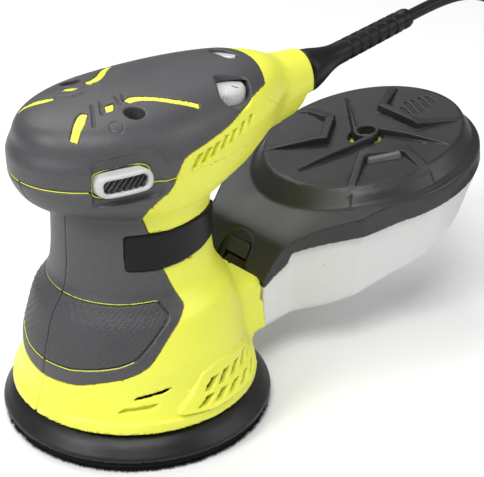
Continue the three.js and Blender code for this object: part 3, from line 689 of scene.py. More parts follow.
def upper_shell(x, y, z):
    d = shell_outside(x, y, z)
    base = outside(x, y, z)
    v = np.abs(y)
    inlay = np.where(z > INLAY_FLOOR, INLAY_MAP(x, v), 20)
    soft = np.maximum(top_outline(x, y, z), -inlay)
    d = np.maximum(d + 0.1 * (top_outline(x, y, z) < 0), -np.maximum(soft, -(base + 1.6)))
    neck_line = np.where(x > 54, crease((x - 55) * 0.62 + (z - 145.4) * 0.78, 0.5, 0.35) * (x < 66), 0)
    d = d + neck_line * (np.abs(y) > 4)
    boss = np.maximum(np.maximum(np.hypot(x - SCREW_X, v - SCREW_Y) - 6.6, base + 1.6), PARTING + 0.2 - z)
    d = np.minimum(np.maximum(d, -hollow(x, y, z)), boss)
    d = np.maximum(d, -screw_hole(x, y, z, 1.0))
    d = np.maximum(d, -np.maximum(lozenge(x, z, 23.0, 11.0), 18 - v))
    d = np.maximum(d, -dial_room(x, y, z, 1.6))
    d = np.maximum(d, -lens_field(x, y, z, 0.3))
    return np.maximum(d, PARTING + 0.015 - z)


def soft_top(x, y, z):
    base = outside(x, y, z)
    v = np.abs(y)
    d = smooth_max(base - 0.3, top_outline(x, y, z) + 0.1, 0.9)
    d = smooth_max(d, PARTING + 0.42 - z, 0.9)
    inlay = np.where(z > INLAY_FLOOR, INLAY_MAP(x, v), 20)
    d = smooth_max(d, -(inlay - 0.12), 0.5)
    groove = np.where(z > INLAY_FLOOR, GROOVE_MAP(x, v), 20)
    ring = np.abs(np.hypot(x + 24, v - 25.2) - 2.8) - 0.22
    d = d + 0.7 * smoothstep(-groove, -0.5, 0.4) + 0.25 * smoothstep(-ring, -0.3, 0.2) * (z > INLAY_FLOOR)
    d = smooth_max(d, -screw_hole(x, y, z), 0.9)
    bore = np.abs(np.hypot(x - SCREW_X, v - SCREW_Y) - 4.75) - 0.45
    sleeve = np.maximum(np.maximum(bore, base + 0.6), SCREW_FLOOR + 0.4 - z)
    d = smooth_max(d, -np.maximum(lozenge(x, z, 23.6, 11.6), 18 - v), 0.9)
    d = np.maximum(d, -dial_room(x, y, z))
    d = smooth_max(d, -lens_field(x, y, z, 0.5), 0.7)
    return np.minimum(np.maximum(d, -(base + 1.55)), sleeve)


def soft_front(x, y, z, side):
    base = outside(x, y, z)
    arc = angle_arc(x, y)
    d = smooth_max(base - 0.3, FRONT_MAP(arc, z) + 0.1, 0.9)
    d = smooth_max(d, z - (PARTING - 0.35), 0.7)
    patch = np.where((z > 34) & (z < 78), INSET_MAP(arc, z), 20)
    d = smooth_max(d, -np.maximum(patch, -(base + 0.9)), 0.6)
    badge = np.where((z > 80) & (z < 110), BADGE_MAP(arc, z), 20)
    d = smooth_max(d, -(badge + 0.05), 0.5)
    d = smooth_max(d, -np.maximum(lozenge(x, z, 23.6, 11.6), 18 - np.abs(y)), 0.9)
    d = np.maximum(d, -(base + 1.65))
    return smooth_max(d, -side * y + 0.14, 0.6)


def inset_patch(x, y, z, side):
    base = outside(x, y, z)
    arc = angle_arc(x, y)
    patch = INSET_MAP(arc, z)
    u, v = (arc + 1.1 * z) / 2.7, (arc - 1.1 * z) / 4.6
    dash = np.clip(np.cos(2 * math.pi * u) * 0.5 + 0.5, 0, 1)
    dash = dash * np.clip(np.cos(2 * math.pi * v) * 0.7 + 0.5, 0, 1)
    d = smooth_max(base - 0.05 - 0.2 * dash, patch + 0.75, 0.8)
    d = np.maximum(d, -(base + 0.85))
    return smooth_max(d, -side * y + 0.16, 0.5)


def badge_plate(x, y, z, side):
    base = outside(x, y, z)
    d = smooth_max(base - 0.75, BADGE_MAP(angle_arc(x, y), z) + 0.12, 0.7)
    d = np.maximum(d, -(base + 0.7))
    return np.maximum(d, -side * y + 1)


def on_surface(path, lift=0.0):
    """Moves (x, y, z) points straight out from the vertical axis onto the outside."""
    p = np.array(path, float)
    for _ in range(12):
        value = outside(*p.T) - lift
        r = np.hypot(p[:, 0], p[:, 1])
        step = np.clip(value, -2, 2)[:, None] * np.stack([p[:, 0] / r, p[:, 1] / r, np.zeros_like(r)], 1)
        p = p - 0.8 * step
    return p


def resample(points, count):
    p = np.array(points, float)
    run = np.concatenate([[0], np.cumsum(np.sqrt((np.diff(p, axis=0) ** 2).sum(1)))])
    t = np.linspace(0, run[-1], count)
    return np.stack([np.interp(t, run, p[:, k]) for k in range(p.shape[1])], 1)


def switch_ring(x, y, z):
    face = body_open(x, y, z)
    d = smooth_max(face - 1.5, lozenge(x, z, 22.2, 10.2), 1.6)
    dish = np.maximum(lozenge(x, z, 17.6, 6.2, 2.4), -(face + 0.6))
    d = smooth_max(d, -dish, 1.0)
    return np.maximum(np.maximum(d, -(face + 8)), 20 - np.abs(y))


def switch_rib(x, y, z):
    face = body_open(x, y, z)
    u, v = switch_plane(x, z)
    wave = np.abs(np.sin(math.pi * (u - 0.75 * v) / 2.35))
    top = face + 0.75 - 1.15 * smoothstep(wave, 0.35, 0.8)
    d = np.maximum(top, lozenge(x, z, 17.2, 5.8, 2.2))
    return np.maximum(d, np.maximum(-(face + 1.6), 20 - np.abs(y)))


def make_body():
    for name, side in (("right", -1), ("left", 1)):
        near, far = sorted((0, 58 * side))
        inner, outer = sorted((18 * side, 46 * side))
        build(f"shell_{name}", one_side(lower_shell, side), (-58, near, 15), (106, far, 130), 0.8,
              ("housing", "lime_shell", f"housing_{name}"), adaptivity=0.03, skin=shell_outside)
        build(f"soft_front_{name}", one_side(soft_front, side), (-58, near, 32), (4, far, 130), 0.7,
              ("housing", "grey_overmould", f"front_overmould_{name}"), adaptivity=0.02)
        build(f"palm_patch_{name}", one_side(inset_patch, side), (-54, near, 39), (-4, far, 74), 0.55,
              ("housing", "grip_texture", f"grip_inset_{name}"))
        build(f"side_plate_{name}", one_side(badge_plate, side), (-34, near, 82), (38, far, 108), 0.7,
              ("housing", "badge_black", f"badge_{name}"))
        build(f"switch_face_{name}", switch_rib, (-38, inner, 124), (-17, outer, 139), 0.5,
              ("switch", "dark_plastic", f"switch_insert_{name}"))
    build("cover_shell", upper_shell, (-58, -46, 128), (106, 46, 158), 0.65,
          ("housing", "lime_shell", "upper_cover"), adaptivity=0.03, skin=shell_outside)
    build("soft_top", soft_top, (-58, -46, 128), (72, 46, 158), 0.52,
          ("housing", "grey_overmould", "top_grip_overmould"), adaptivity=0.02)
    build("switch_bar_ends", switch_ring, (-42, -46, 122), (-14, 46, 141), 0.6,
          ("switch", "light_control", "switch_bar"))
    make_trims()


INSET_TOP = [(178.9, 71), (163, 71), (136, 71.2), (113, 71.8), (111.4, 71.5)]
INSET_FOOT = [(178.9, 41), (162, 41.7), (145.5, 44.3), (135.3, 46.2), (128, 48.6)]


def around_axis(degrees, heights, side):
    """Points at the unrolling radius, at angles from the rear and heights, on one side."""
    angles = [math.radians(t) for t in degrees]
    return [(ARC * math.cos(a), side * ARC * math.sin(a), z) for a, z in zip(angles, heights)]


def switch_outline(side):
    """A closed loop on the outside, round the switch's bezel."""
    loop = []
    for t in np.linspace(0, 2 * math.pi, 73)[:-1]:
        u = 11.8 * math.copysign(abs(math.cos(t)) ** 0.62, math.cos(t))
        v = 6.3 * math.copysign(abs(math.sin(t)) ** 0.62, math.sin(t))
        loop.append((SWITCH_X + u - v * SWITCH_TILT, side * 33.0, SWITCH_Z + v + u * SWITCH_TILT))
    loop = np.array(loop)
    for _ in range(20):
        loop[:, 1] -= side * np.clip(outside(*loop.T), -2, 2) * 0.8
    return np.concatenate([loop, loop[:1]])


def make_trims():
    """Thin yellow lines where the shell shows in the joints of the soft skins."""
    parts = []
    for side in (-1, 1):
        degrees = np.linspace(180 if side < 0 else 178.5, 97.2, 90)
        p = on_surface(around_axis(degrees, [PARTING + 0.03] * 90, side), -0.1)
        keep = lozenge(p[:, 0], p[:, 2], 24.0, 12.0) > 0
        groups = np.split(np.arange(len(p)), np.nonzero(np.diff(keep.astype(int)))[0] + 1)
        parts += [p[g] for g in groups if keep[g[0]] and len(g) > 3]
        for line in (INSET_TOP, INSET_FOOT):
            parts.append(on_surface(resample(around_axis(*zip(*line), side), 90), -0.12))
        parts.append(switch_outline(side))
    joined = [tube(f"trim_{i}", resample(p, max(12, len(p))), 0.23, 6) for i, p in enumerate(parts)]
    fix(merge(joined, "shell_lines"), "housing", "lime_shell")


def merge(objects, name):
    """Joins mesh objects into one new object."""
    bm = bmesh.new()
    for obj in objects:
        bm.from_mesh(obj.data)
    mesh = bpy.data.meshes.new(name)
    bm.to_mesh(mesh)
    bm.free()
    for obj in objects:
        bpy.data.objects.remove(obj)
    obj = bpy.data.objects.new(name, mesh)
    bpy.context.scene.collection.objects.link(obj)
    return obj


# ---- controls, screws and lens ----
def knurled_wheel():
    """The speed dial: a wheel with a scalloped rim, a chamfered top and a raised pointer."""
    profile = [(3.2, 142.6), (9.9, 142.6), (10.5, 143.1), (10.5, 149.0), (9.9, 150.1), (8.9, 150.8),
               (5.0, 151.2), (0.5, 151.3)]
    sides = 240
    angle = np.linspace(0, 2 * math.pi, sides, endpoint=False)
    scallop = 0.32 * np.abs(np.sin(20 * angle)) ** 0.8
    points = []
    for radius, height in profile:
        reach = radius - scallop * (radius > 9.8)
        points.append(np.stack([DIAL_X + reach * np.cos(angle), DIAL_Y + reach * np.sin(angle),
                                np.full(sides, height)], 1))
    top = (len(profile) - 1) * sides
    points = np.concatenate(points + [np.array([[DIAL_X, DIAL_Y, 151.5], [DIAL_X, DIAL_Y, 142.6]])])
    n = len(points)
    a, b = np.arange(sides), (np.arange(sides) + 1) % sides
    triangles = np.concatenate([np.stack([top + a, top + b, np.full(sides, n - 2)], 1),
                                np.stack([b, a, np.full(sides, n - 1)], 1)])
    wheel = add_mesh("dial_wheel", points, triangles, band_quads(len(profile), sides))
    weld_and_sharpen(wheel, 0.6)
    pointer = [(DIAL_X + 1.6, DIAL_Y - 4.6, 151.0), (DIAL_X + 2.6, DIAL_Y - 7.6, 150.75)]
    mark = tube("dial_mark", pointer, 0.4, 10)
    fix(wheel, "dial", "light_control", "speed_dial")
    fix(mark, "dial", "dark_plastic")


def cover_screw(x, y, z, side):
    """A pan head with a six-lobed recess on a threaded shank."""
    u, v = x - SCREW_X, y - side * SCREW_Y
    r, turn = np.hypot(u, v), np.arctan2(v, u)
    head = smooth_max(r - 3.7, np.abs(z - SCREW_FLOOR - 1.35) - 1.35, 0.8)
    lobes = r - 1.55 - 0.3 * np.cos(6 * turn)
    head = np.maximum(head, -np.maximum(lobes, SCREW_FLOOR + 1.1 - z))
    thread = 0.22 * np.sin(2 * math.pi * z / 1.1 - turn)
    shank = np.maximum(np.maximum(r - 1.7 - thread, z - SCREW_FLOOR - 0.9), 112.1 - z)
    return np.minimum(head, shank)


def lens_piece(x, y, z):
    base = outside(x, y, z)
    d = smooth_max(base + 0.35 + 0.16 * (y - 2), lens_field(x, y, z, 0.05), 0.8)
    return np.maximum(d, -(base + 3))


def make_controls():
    knurled_wheel()
    for i, side in ((1, -1), (2, 1)):
        middle = side * SCREW_Y
        build(f"screw_{i}", one_side(cover_screw, side), (SCREW_X - 4, middle - 4, 112),
              (SCREW_X + 4, middle + 4, 139.2), 0.3, ("housing", "steel", f"cover_screw_{i}"), eps=0.05)
    build("lens", lens_piece, (54, -11, 147), (62, 11, 155), 0.35,
          ("housing", "light_control", "indicator_lens"), eps=0.06)


# ---- pad ----
PAD_X = 1.2
PAD_PROFILE = Curve([(0, 9.4), (17, 9.4), (46, 10.8), (49, 12.6), (51.4, 14.2), (53, 14.3),
                     (57, 12.3), (61.4, 7.6), (62.5, 6.2), (64, 3.6)])


def pad_holes(x, y):
    turn = np.arctan2(y, x - PAD_X)
    nearest = (np.floor(turn / (math.pi / 4)) + 0.5) * (math.pi / 4)
    return np.hypot(x - PAD_X - 32.5 * np.cos(nearest), y - 32.5 * np.sin(nearest)) - 5


def pad_screw_holes(x, y, grow=0.0):
    holes = [np.hypot(x - PAD_X - 10.5 * math.cos(2.1 * i), y - 10.5 * math.sin(2.1 * i)) for i in range(3)]
    return np.minimum(np.minimum(holes[0], holes[1]), holes[2]) - 2.3 - grow


def pad_plate(x, y, z):
    r = np.hypot(x - PAD_X, y)
    top = (z - PAD_PROFILE(r)) / np.sqrt(1 + PAD_PROFILE.slope(r) ** 2)
    d = smooth_max(top, r - 62.5, 0.8)
    d = smooth_max(d, 5.05 - z, 0.6)
    d = smooth_max(d, -pad_holes(x, y), 0.4)
    return np.maximum(np.maximum(d, -pad_screw_holes(x, y)), -np.maximum(r - 6, 7.6 - z))


def pad_disc(x, y, z, radius, low, high, soft):
    r = np.hypot(x - PAD_X, y)
    d = smooth_max(r - radius, np.abs(z - (low + high) / 2) - (high - low) / 2, soft)
    return np.maximum(d, -pad_holes(x, y))


# a fibre's faces between its points: three at the root, three at the bend and the tip
FIBRE_FACES = [(0, 1, 4), (0, 4, 3), (1, 2, 5), (1, 5, 4), (2, 0, 3), (2, 3, 5), (3, 4, 6), (4, 5, 6),
               (5, 3, 6), (0, 2, 1)]


def hook_fibres(count=2800):
    """Short bent fibres round the rim of the hook layer."""
    turn = RNG.uniform(0, 2 * math.pi, count)
    length = RNG.uniform(0.4, 2.1, count)
    height = RNG.uniform(0.12, 0.95, count)
    fall = RNG.uniform(-0.5, 0.35, count)
    sway = RNG.normal(0, 0.35, count)
    width = 0.12
    up = np.array([0, 0, width])
    points, triangles = [], []
    for angle, reach, level, drop, lean in zip(turn, length, height, fall, sway):
        c, s = math.cos(angle), math.sin(angle)
        side = np.array([-s, c, 0])
        root = np.array([PAD_X + 60.4 * c, 60.4 * s, level])
        bend = root + reach * 0.6 * np.array([c, s, 0.25]) + 0.3 * lean * side
        tip = root + reach * np.array([c, s, 0]) + np.array([0, 0, drop * reach]) + lean * side
        tip[2] = max(tip[2], 0.06)
        k = len(points)
        for middle in (root, bend):
            points += [middle - width * side, middle + width * side, middle + up]
        points.append(tip)
        triangles += [(k + a, k + b, k + c) for a, b, c in FIBRE_FACES]
    return add_mesh("hook_fibres", np.array(points), np.array(triangles), [])


def make_pad():
    build("pad_plate_top", pad_plate, (-62, -63, 4.5), (65, 63, 15), 0.8,
          ("pad", "pad_backing", "pad_plate"), adaptivity=0.03)
    build("pad_cushion", lambda x, y, z: pad_disc(x, y, z, 61.0, 1.1, 4.9, 1.2),
          (-61, -62, 1), (63, 62, 5), 0.8, ("pad", "pad_foam", "pad_foam"), adaptivity=0.05)
    build("pad_hooks", lambda x, y, z: pad_disc(x, y, z, 60.6, 0.02, 1.05, 0.3),
          (-61, -62, 0), (63, 62, 1.1), 0.8, ("pad", "hook_fabric", "pad_hook_layer"), adaptivity=0.05)
    fix(hook_fibres(), "pad", "hook_fabric")


# ---- dust box and lid, about the centre of the oval ----
BOX_X, BOX_SLOPE = 151.0, 0.131


def box_outline():
    touch = math.acos(-0.42)
    arc = [(BOX_X + 62 * math.cos(a), 55 * math.sin(a)) for a in np.linspace(-touch, touch, 61)]
    flank = [(104, 45.4), (90, 36.6), (76, 28.7), (68, 25.6), (60, 23.5)]
    return arc + flank + [(x, -y) for x, y in reversed(flank)]


BOX_MAP = FlatMap([box_outline()], (40, -70), (225, 70), 0.5)
LID_LOW = Curve([(50, 34), (60, 44), (66, 49.2), (71.5, 53.6), (74.5, 59.2), (82, 61.3), (90, 62.5),
                 (110, 65.2), (167, 72.7), (220, 79.6)])
LID_HIGH = Curve([(50, 33), (60, 50), (65, 58), (70, 64), (80, 69), (91, 72.2), (104, 75),
                  (117, 77.4), (140, 79.6), (167, 83), (220, 89.6)])
LID_CREASE = Curve([(50, 36), (60, 47), (66, 53.5), (72, 58.6), (75, 59.9), (80, 60.4), (220, 60.5)])


def box_floor(x):
    return 20.7 + np.maximum(0, (x - 66) * 0.1) + np.maximum(0, (x - 96) * 0.2)


def box_outside(x, y, z):
    plan = BOX_MAP(x, np.abs(y))
    floor = box_floor(x)
    lean = 5.6 * np.clip((72 - z) / (67 - floor), -0.3, 1.2) * smoothstep(x, 58, 84)
    kink = 0.7 * smoothstep(x, 96, 103)
    return smooth_max(plan + lean + kink * 0.4, (floor - z) * 0.98, 5.2)


def dust_canister(x, y, z):
    d = box_outside(x, y, z)
    top = z - LID_LOW(x) + 0.3
    shell = np.maximum(np.maximum(d, top), -(d + 2))
    return np.maximum(shell, -np.maximum(np.abs(y) - 14, np.maximum(np.abs(z - 34.5) - 6.5, x - 72)))


DISC_PLAN = ((-64, -56), (64, 56), 0.3)
RIBS = [[(-4.6, 1.4, 3.0), (3.0, 10.6, 2.4), (21, 33, 0.9)],
        [(-1.4, -7.6, 3.2), (-18, -5.0, 2.6), (-46, 0.2, 0.9)],
        [(5.2, -3.6, 3.0), (9.0, -15, 2.6), (17.7, -41, 0.9)]]
RIB_MAP = FlatMap([rounded(strip(r), 0.2) for r in RIBS], *DISC_PLAN)
CHEVRONS = [
    [(-2.5, 43.5), (1.9, 39.3), (1, 20.9), (-18.5, 7.3), (-44.4, 28.4), (-42, 30.6), (-19.4, 12.6),
     (-3.5, 24.4), (-2.6, 38.4), (-6.5, 43.2)],
    [(43.5, 22.9), (21.4, 11.4), (19.6, -17.7), (40.5, -31.3), (43.3, -28.6), (24.4, -14.8), (25.8, 8.2),
     (45.0, 18.6)],
    [(-44.6, -30.6), (-18, -13), (-13.5, -14.1), (1.9, -27.8), (-3.8, -47.2), (-8.6, -46.4), (-3.9, -29.6),
     (-17.6, -19.6), (-19.9, -19.6), (-43.4, -34.6)],
]
CHEVRON_MAP = FlatMap([rounded(c, 0.5) for c in CHEVRONS], *DISC_PLAN)
TAB = rounded([(-18.2, -18.4), (-14.4, -16.5), (-2.2, -26.1), (-5.9, -30.8), (-20, -21.7)], 1.0)
TAB_MAP = FlatMap([TAB], *DISC_PLAN)
DISC_GROOVES = [((32.7, 4.2), (29.3, -3.8)), ((38, 6.2), (32.2, -5.9)), ((41.5, 5.1), (35.5, -8.5)),
                ((45.3, 3.7), (41, -7)), ((48.3, 1.5), (46.6, -5.4))]
DISC_GROOVE_MAP = FlatMap([strip([(ax, ay, 1.5), (bx, by, 1.5)]) for (ax, ay), (bx, by) in DISC_GROOVES],
                          *DISC_PLAN)


LATCH_WALL = 69.5


def lid_level(x, z):
    return z - 89 - BOX_SLOPE * (x - BOX_X)


def oval_distance(u, y, a, b):
    q = np.sqrt((u / a) ** 2 + (y / b) ** 2) + 1e-9
    return (q - 1) * q / np.sqrt(u ** 2 / a ** 4 + y ** 2 / b ** 4 + 1e-12)


def lid_dome(x, y, z):
    u, h = x - BOX_X, lid_level(x, z)
    spread = 0.54 + 0.34 * smoothstep(-u, 10, 50)
    a = 54.9 + spread * -h
    b = 45.2 + 0.74 * -h
    side = 0.8 * oval_distance(u, y, np.maximum(a, 20), np.maximum(b, 20))
    turn = np.degrees(np.arctan2(y / 44.7, u / 54.3))
    panel = smoothstep(turn, -138.0, -136.2) * smoothstep(-turn, 93.0, 94.8)
    side = side - 0.5 * panel * smoothstep(-h, 1.4, 3.4)
    q = np.sqrt((u / 54.3) ** 2 + (y / 44.7) ** 2)
    disc = h + 0.9 * (1 - np.clip(q, 0, 1)) ** 0.7
    fade = np.clip((1.04 - q) / 0.55, 0, 1)
    raised = 3.3 * fade + 0.05
    d = smooth_max(side, disc, 1.1)
    near = (h > -3) & (h < 6)
    chevron = smooth_max(CHEVRON_MAP(u, y) + 0.12 * np.maximum(h, 0), h - raised, 0.45)
    chevron = np.where(near, chevron, 9)
    chevron = np.maximum(chevron, -h - 3)
    rib = smooth_max(RIB_MAP(u, y) + 0.1 * np.maximum(h, 0), h - 2.9 * fade ** 0.8 + 0.2, 0.7)
    rib = np.where(near, rib, 9)
    rib = np.maximum(rib, -h - 1.8)
    d = np.where(near, np.minimum(d, np.maximum(chevron, side)), d)
    groove = np.maximum(DISC_GROOVE_MAP(u, y), -(h + 0.9 * (1 - q) + 0.9))
    d = np.where(near, smooth_max(d, -groove, 0.4), d)
    gap = np.hypot(u + 0.3, y + 1.6)
    d = smooth_max(d, -np.maximum(gap - 8.8, -12 - h), 0.7)
    boss = smooth_max(np.maximum(gap - 6.4, 4.5 - gap), np.maximum(h - 2.75, -2.4 - h), 0.7)
    return np.minimum(np.where(near, smooth_min(d, rib, 0.3), d), boss)


def latch_floor(x):
    return LID_HIGH(x) - 1.6 - 0.42 * (LATCH_WALL - x)


def latch_scoop(x, y, z):
    """The finger recess at the lid's front end: an arched wall behind a ramp that falls towards the port."""
    reach = (np.clip(x - 57, 0, None) / (LATCH_WALL - 57)) ** 3 + (np.abs(y) / 10.5) ** 3
    return np.maximum(8 * (np.cbrt(reach) - 1), latch_floor(x) - z)


def latch_slot(x, y, z, grow=0.0, depth=3.4):
    opening = box_field(x - 64.2, y, 0 * z, (3.0 + grow, 7.0 + grow, 9), 1.2)
    return np.maximum(opening, latch_floor(x) - depth - z)


def lid_outside(x, y, z):
    plan = BOX_MAP(x, np.abs(y))
    strip_in = 0.55 * smoothstep(LID_CREASE(x) - z, -0.25, 0.25) * (x < 75.5)
    wall = plan - 0.6 + strip_in
    deck = (z - LID_HIGH(x)) / np.sqrt(1 + LID_HIGH.slope(x) ** 2)
    edge = 0.7 + 3.4 * smoothstep(x, 122, 160)
    rim = smooth_max(wall, deck, edge)
    rim = smooth_max(rim, -latch_scoop(x, y, z), 0.8)
    return smooth_min(np.maximum(lid_dome(x, y, z), wall + 0.2), rim, 0.9)


def lid_shell(x, y, z):
    d = lid_outside(x, y, z)
    low = LID_LOW(x) - z
    plan = BOX_MAP(x, np.abs(y))
    u, h = x - BOX_X, lid_level(x, z)
    deep = np.maximum(np.maximum(plan + 3.2, z - LID_HIGH(x) + 2.8), 63 - x)
    dome_in = 0.8 * oval_distance(u, y, np.maximum(51 - 0.5 * h, 20), np.maximum(41.6 - 0.7 * h, 20))
    dome_in = np.maximum(dome_in, h + 4)
    inner = np.minimum(deep, np.maximum(dome_in, plan + 3.4))
    inner = np.maximum(inner, 8.0 - latch_scoop(x, y, z))
    slot = latch_slot(x, y, z, 0.35, 6.2)
    return np.maximum(np.maximum(np.maximum(d, low), -inner), -slot)


def latch_button(x, y, z):
    """The ribbed tongue in the ramp."""
    rib = 0.35 * smoothstep(np.abs(np.sin(math.pi * (x - 64.2) / 1.9)), 0.3, 0.8)
    return smooth_max(latch_slot(x, y, z), z - latch_floor(x) - 0.5 - rib, 0.5)


def grip_tab(x, y, z):
    u, h = x - BOX_X, lid_level(x, z)
    return smooth_max(TAB_MAP(u, y) + 0.35 * h, np.maximum(h - 1.9 - 0.05 * (u + 11), -h - 2.4), 0.7)


def make_dust_box():
    build("box_shell", dust_canister, (59, -56, 20), (214, 56, 80), 0.85,
          ("box", "frosted_box", "dust_box"), adaptivity=0.03)
    build("lid_shell", lid_shell, (58, -57, 40), (216, 57, 100), 0.64,
          ("lid", "dark_plastic", "dust_lid"), adaptivity=0.03)
    build("lid_tab", grip_tab, (BOX_X - 22, -33, 82), (BOX_X, -14, 93), 0.4, ("lid", "dark_plastic"),
          eps=0.06)
    build("lid_latch", latch_button, (60, -8, 54), (69, 8, 72), 0.4, ("latch", "dark_plastic", "box_latch"),
          eps=0.08)
    collar = [(5.8, 76.2), (7.4, 76.2), (7.4, 82.0), (8.6, 82.0), (8.6, 84.6), (8.2, 85.0), (6.2, 85.0),
              (5.8, 84.6)]
    ring = lathe("cyclone_collar", collar, 72, (BOX_X - 0.3, -1.6), 0.6)
    for vertex in ring.data.vertices:
        vertex.co.z += BOX_SLOPE * (vertex.co.x - BOX_X * MM)
    fix(ring, "lid", "lime_shell", "cyclone_ring")


# ---- cord and what is on it ----
GUARD_START, GUARD_TILT = Vector((105.7, 0, 134.2)), 0.131


def cord_guard():
    profile = [(3.3, 0.2), (10.0, 0.2), (10.3, 0.9), (10.3, 2.6), (9.9, 4.4), (9.1, 7.6), (8.0, 11),
               (6.9, 14.6), (6.1, 18), (5.6, 21)]
    for k in range(7):
        start, rib, groove = 24 + 6.4 * k, 5.45 - 0.05 * k, 4.75 - 0.05 * k
        profile += [(rib, start), (rib, start + 3.9), (groove, start + 4.4), (groove, start + 5.9)]
    profile += [(5.0, 69.4), (5.0, 72.2), (4.6, 73.6), (3.9, 74.0), (3.05, 74.0)]
    guard = lathe("cord_sleeve", profile, 64, (0, 0), 0.7)
    along = Vector((math.cos(GUARD_TILT), 0, math.sin(GUARD_TILT)))
    guard.data.transform(along.to_track_quat("Z", "Y").to_matrix().to_4x4())
    for vertex in guard.data.vertices:
        vertex.co += GUARD_START * MM
    return fix(guard, "housing", "black_rubber", "cord_guard")


PLUG_X, PLUG_Z = 322.0, 8.5


def plug_shape(x, y, z):
    main = box_field(x - PLUG_X, y + 3.5, z - PLUG_Z, (13.2, 15.2, 8.3), 4.0)
    waist = 1.5 * np.exp(-((y + 8) / 6.0) ** 2) * smoothstep(np.abs(x - PLUG_X), 6, 12)
    neck = np.hypot((x - PLUG_X) * 0.9, z - PLUG_Z) - 6.2 - 0.08 * (y + 20)
    neck = np.maximum(neck, np.abs(y + 22) - 7.4)
    ribs = 0.5 * np.cos(2 * math.pi * y / 3.0) * (np.abs(y + 6) < 8) * smoothstep(np.abs(x - PLUG_X), 9, 11)
    d = smooth_min(main + waist - 0.4 * np.maximum(ribs, 0), smooth_max(neck, np.abs(y + 22) - 7.6, 1.5), 3)
    d = np.maximum(d, 0.25 - z)
    return np.maximum(d, -np.maximum(np.hypot(x - PLUG_X, z - PLUG_Z) - 3.2, y + 24))


def tie_strap():
    """A flat strap round the coil's turns, closed in a rounded loop."""
    inner, outer, low, high = 20.2, 50.4, 0.5, 27.4
    path = []
    for cx, cz, start in ((outer - 4, high - 4, 0), (inner + 4, high - 4, 90), (inner + 4, low + 4, 180),
                          (outer - 4, low + 4, 270)):
        for a in np.linspace(start, start + 90, 9):
            path.append((cx + 4 * math.cos(math.radians(a)), cz + 4 * math.sin(math.radians(a))))
    c, s = math.cos(0.9), math.sin(0.9)
    points = []
    for shrink, half in ((0.0, 5.6), (0.0, -5.6), (1.0, -5.6), (1.0, 5.6)):
        middle_x, middle_z = (inner + outer) / 2, (low + high) / 2
        for px, pz in path:
            qx = px - shrink * np.sign(px - middle_x) * min(1, abs(px - middle_x) / 8)
            qz = pz - shrink * np.sign(pz - middle_z) * min(1, abs(pz - middle_z) / 6)
            points.append((COIL_X + qx * c - half * s, COIL_Y + qx * s + half * c, qz))
    n = len(path)
    quads = []
    for k in range(4):
        for i in range(n):
            j, m = (i + 1) % n, (k + 1) % 4
            quads.append((k * n + i, k * n + j, m * n + j, m * n + i))
    strap = add_mesh("coil_tie", np.array(points), [], np.array(quads))
    weld_and_sharpen(strap, 0.7)
    return fix(strap, "housing", "black_rubber", "cord_tie")


def make_lead():
    cord, path = make_cord()
    fix(cord, "housing", "black_rubber", "power_cord", "cord_coil", "cord_tail")
    strap = tie_strap()
    plug = build("plug_shell", plug_shape, (308, -30, 0), (336, 13, 18), 0.6,
                 ("housing", "black_rubber", "plug_body"), eps=0.08)
    cord_guard()


# ---- materials ----
def blank(name):
    material = bpy.data.materials.new(name)
    material.use_nodes = True
    nodes = material.node_tree.nodes
    nodes.clear()
    output = nodes.new("ShaderNodeOutputMaterial")
    shader = nodes.new("ShaderNodeBsdfPrincipled")
    material.node_tree.links.new(shader.outputs["BSDF"], output.inputs["Surface"])
    place = nodes.new("ShaderNodeTexCoord").outputs["Object"]
    return material, shader, place


def node(material, kind, inputs=None, **settings):
    made = material.node_tree.nodes.new(kind)
    for key, value in settings.items():
        setattr(made, key, value)
    for key, value in (inputs or {}).items():
        if isinstance(value, bpy.types.NodeSocket):
            material.node_tree.links.new(value, made.inputs[key])
        else:
            made.inputs[key].default_value = value
    return made


def grade(material, value, low, high):
    """A value from 0.35..0.65 spread over low..high."""
    return node(material, "ShaderNodeMapRange", {"Value": value, "From Min": 0.35, "From Max": 0.65,
                                                 "To Min": low, "To Max": high}).outputs["Result"]


def noise(material, place, scale, detail):
    made = node(material, "ShaderNodeTexNoise", {"Vector": place, "Scale": scale, "Detail": detail})
    return made.outputs["Fac"]


def wire(material, shader, colours, shine, height, strength, depth):
    """Joins colour, roughness and relief to the shader; the relief's depth is in millimetres."""
    bump = node(material, "ShaderNodeBump", {"Height": height, "Strength": strength, "Distance": depth * MM})
    for socket, name in ((colours, "Base Color"), (shine, "Roughness"), (bump.outputs["Normal"], "Normal")):
        material.node_tree.links.new(socket, shader.inputs[name])


def two_tone(material, value, first, second):
    ramp = node(material, "ShaderNodeValToRGB", {"Fac": value})
    ramp.color_ramp.elements[0].position, ramp.color_ramp.elements[1].position = 0.3, 0.7
    ramp.color_ramp.elements[0].color = (*first, 1)
    ramp.color_ramp.elements[1].color = (*second, 1)
    return ramp.outputs["Color"]


def mix(material, factor, first, second, blend="MIX"):
    made = node(material, "ShaderNodeMix", data_type="RGBA", blend_type=blend)
    for index, value in ((0, factor), (6, first), (7, second)):
        if isinstance(value, bpy.types.NodeSocket):
            material.node_tree.links.new(value, made.inputs[index])
        else:
            made.inputs[index].default_value = value if index == 0 else (*value, 1)
    return made.outputs[2]


def scaled(colour, factor):
    return tuple(min(1.0, c * factor) for c in colour)


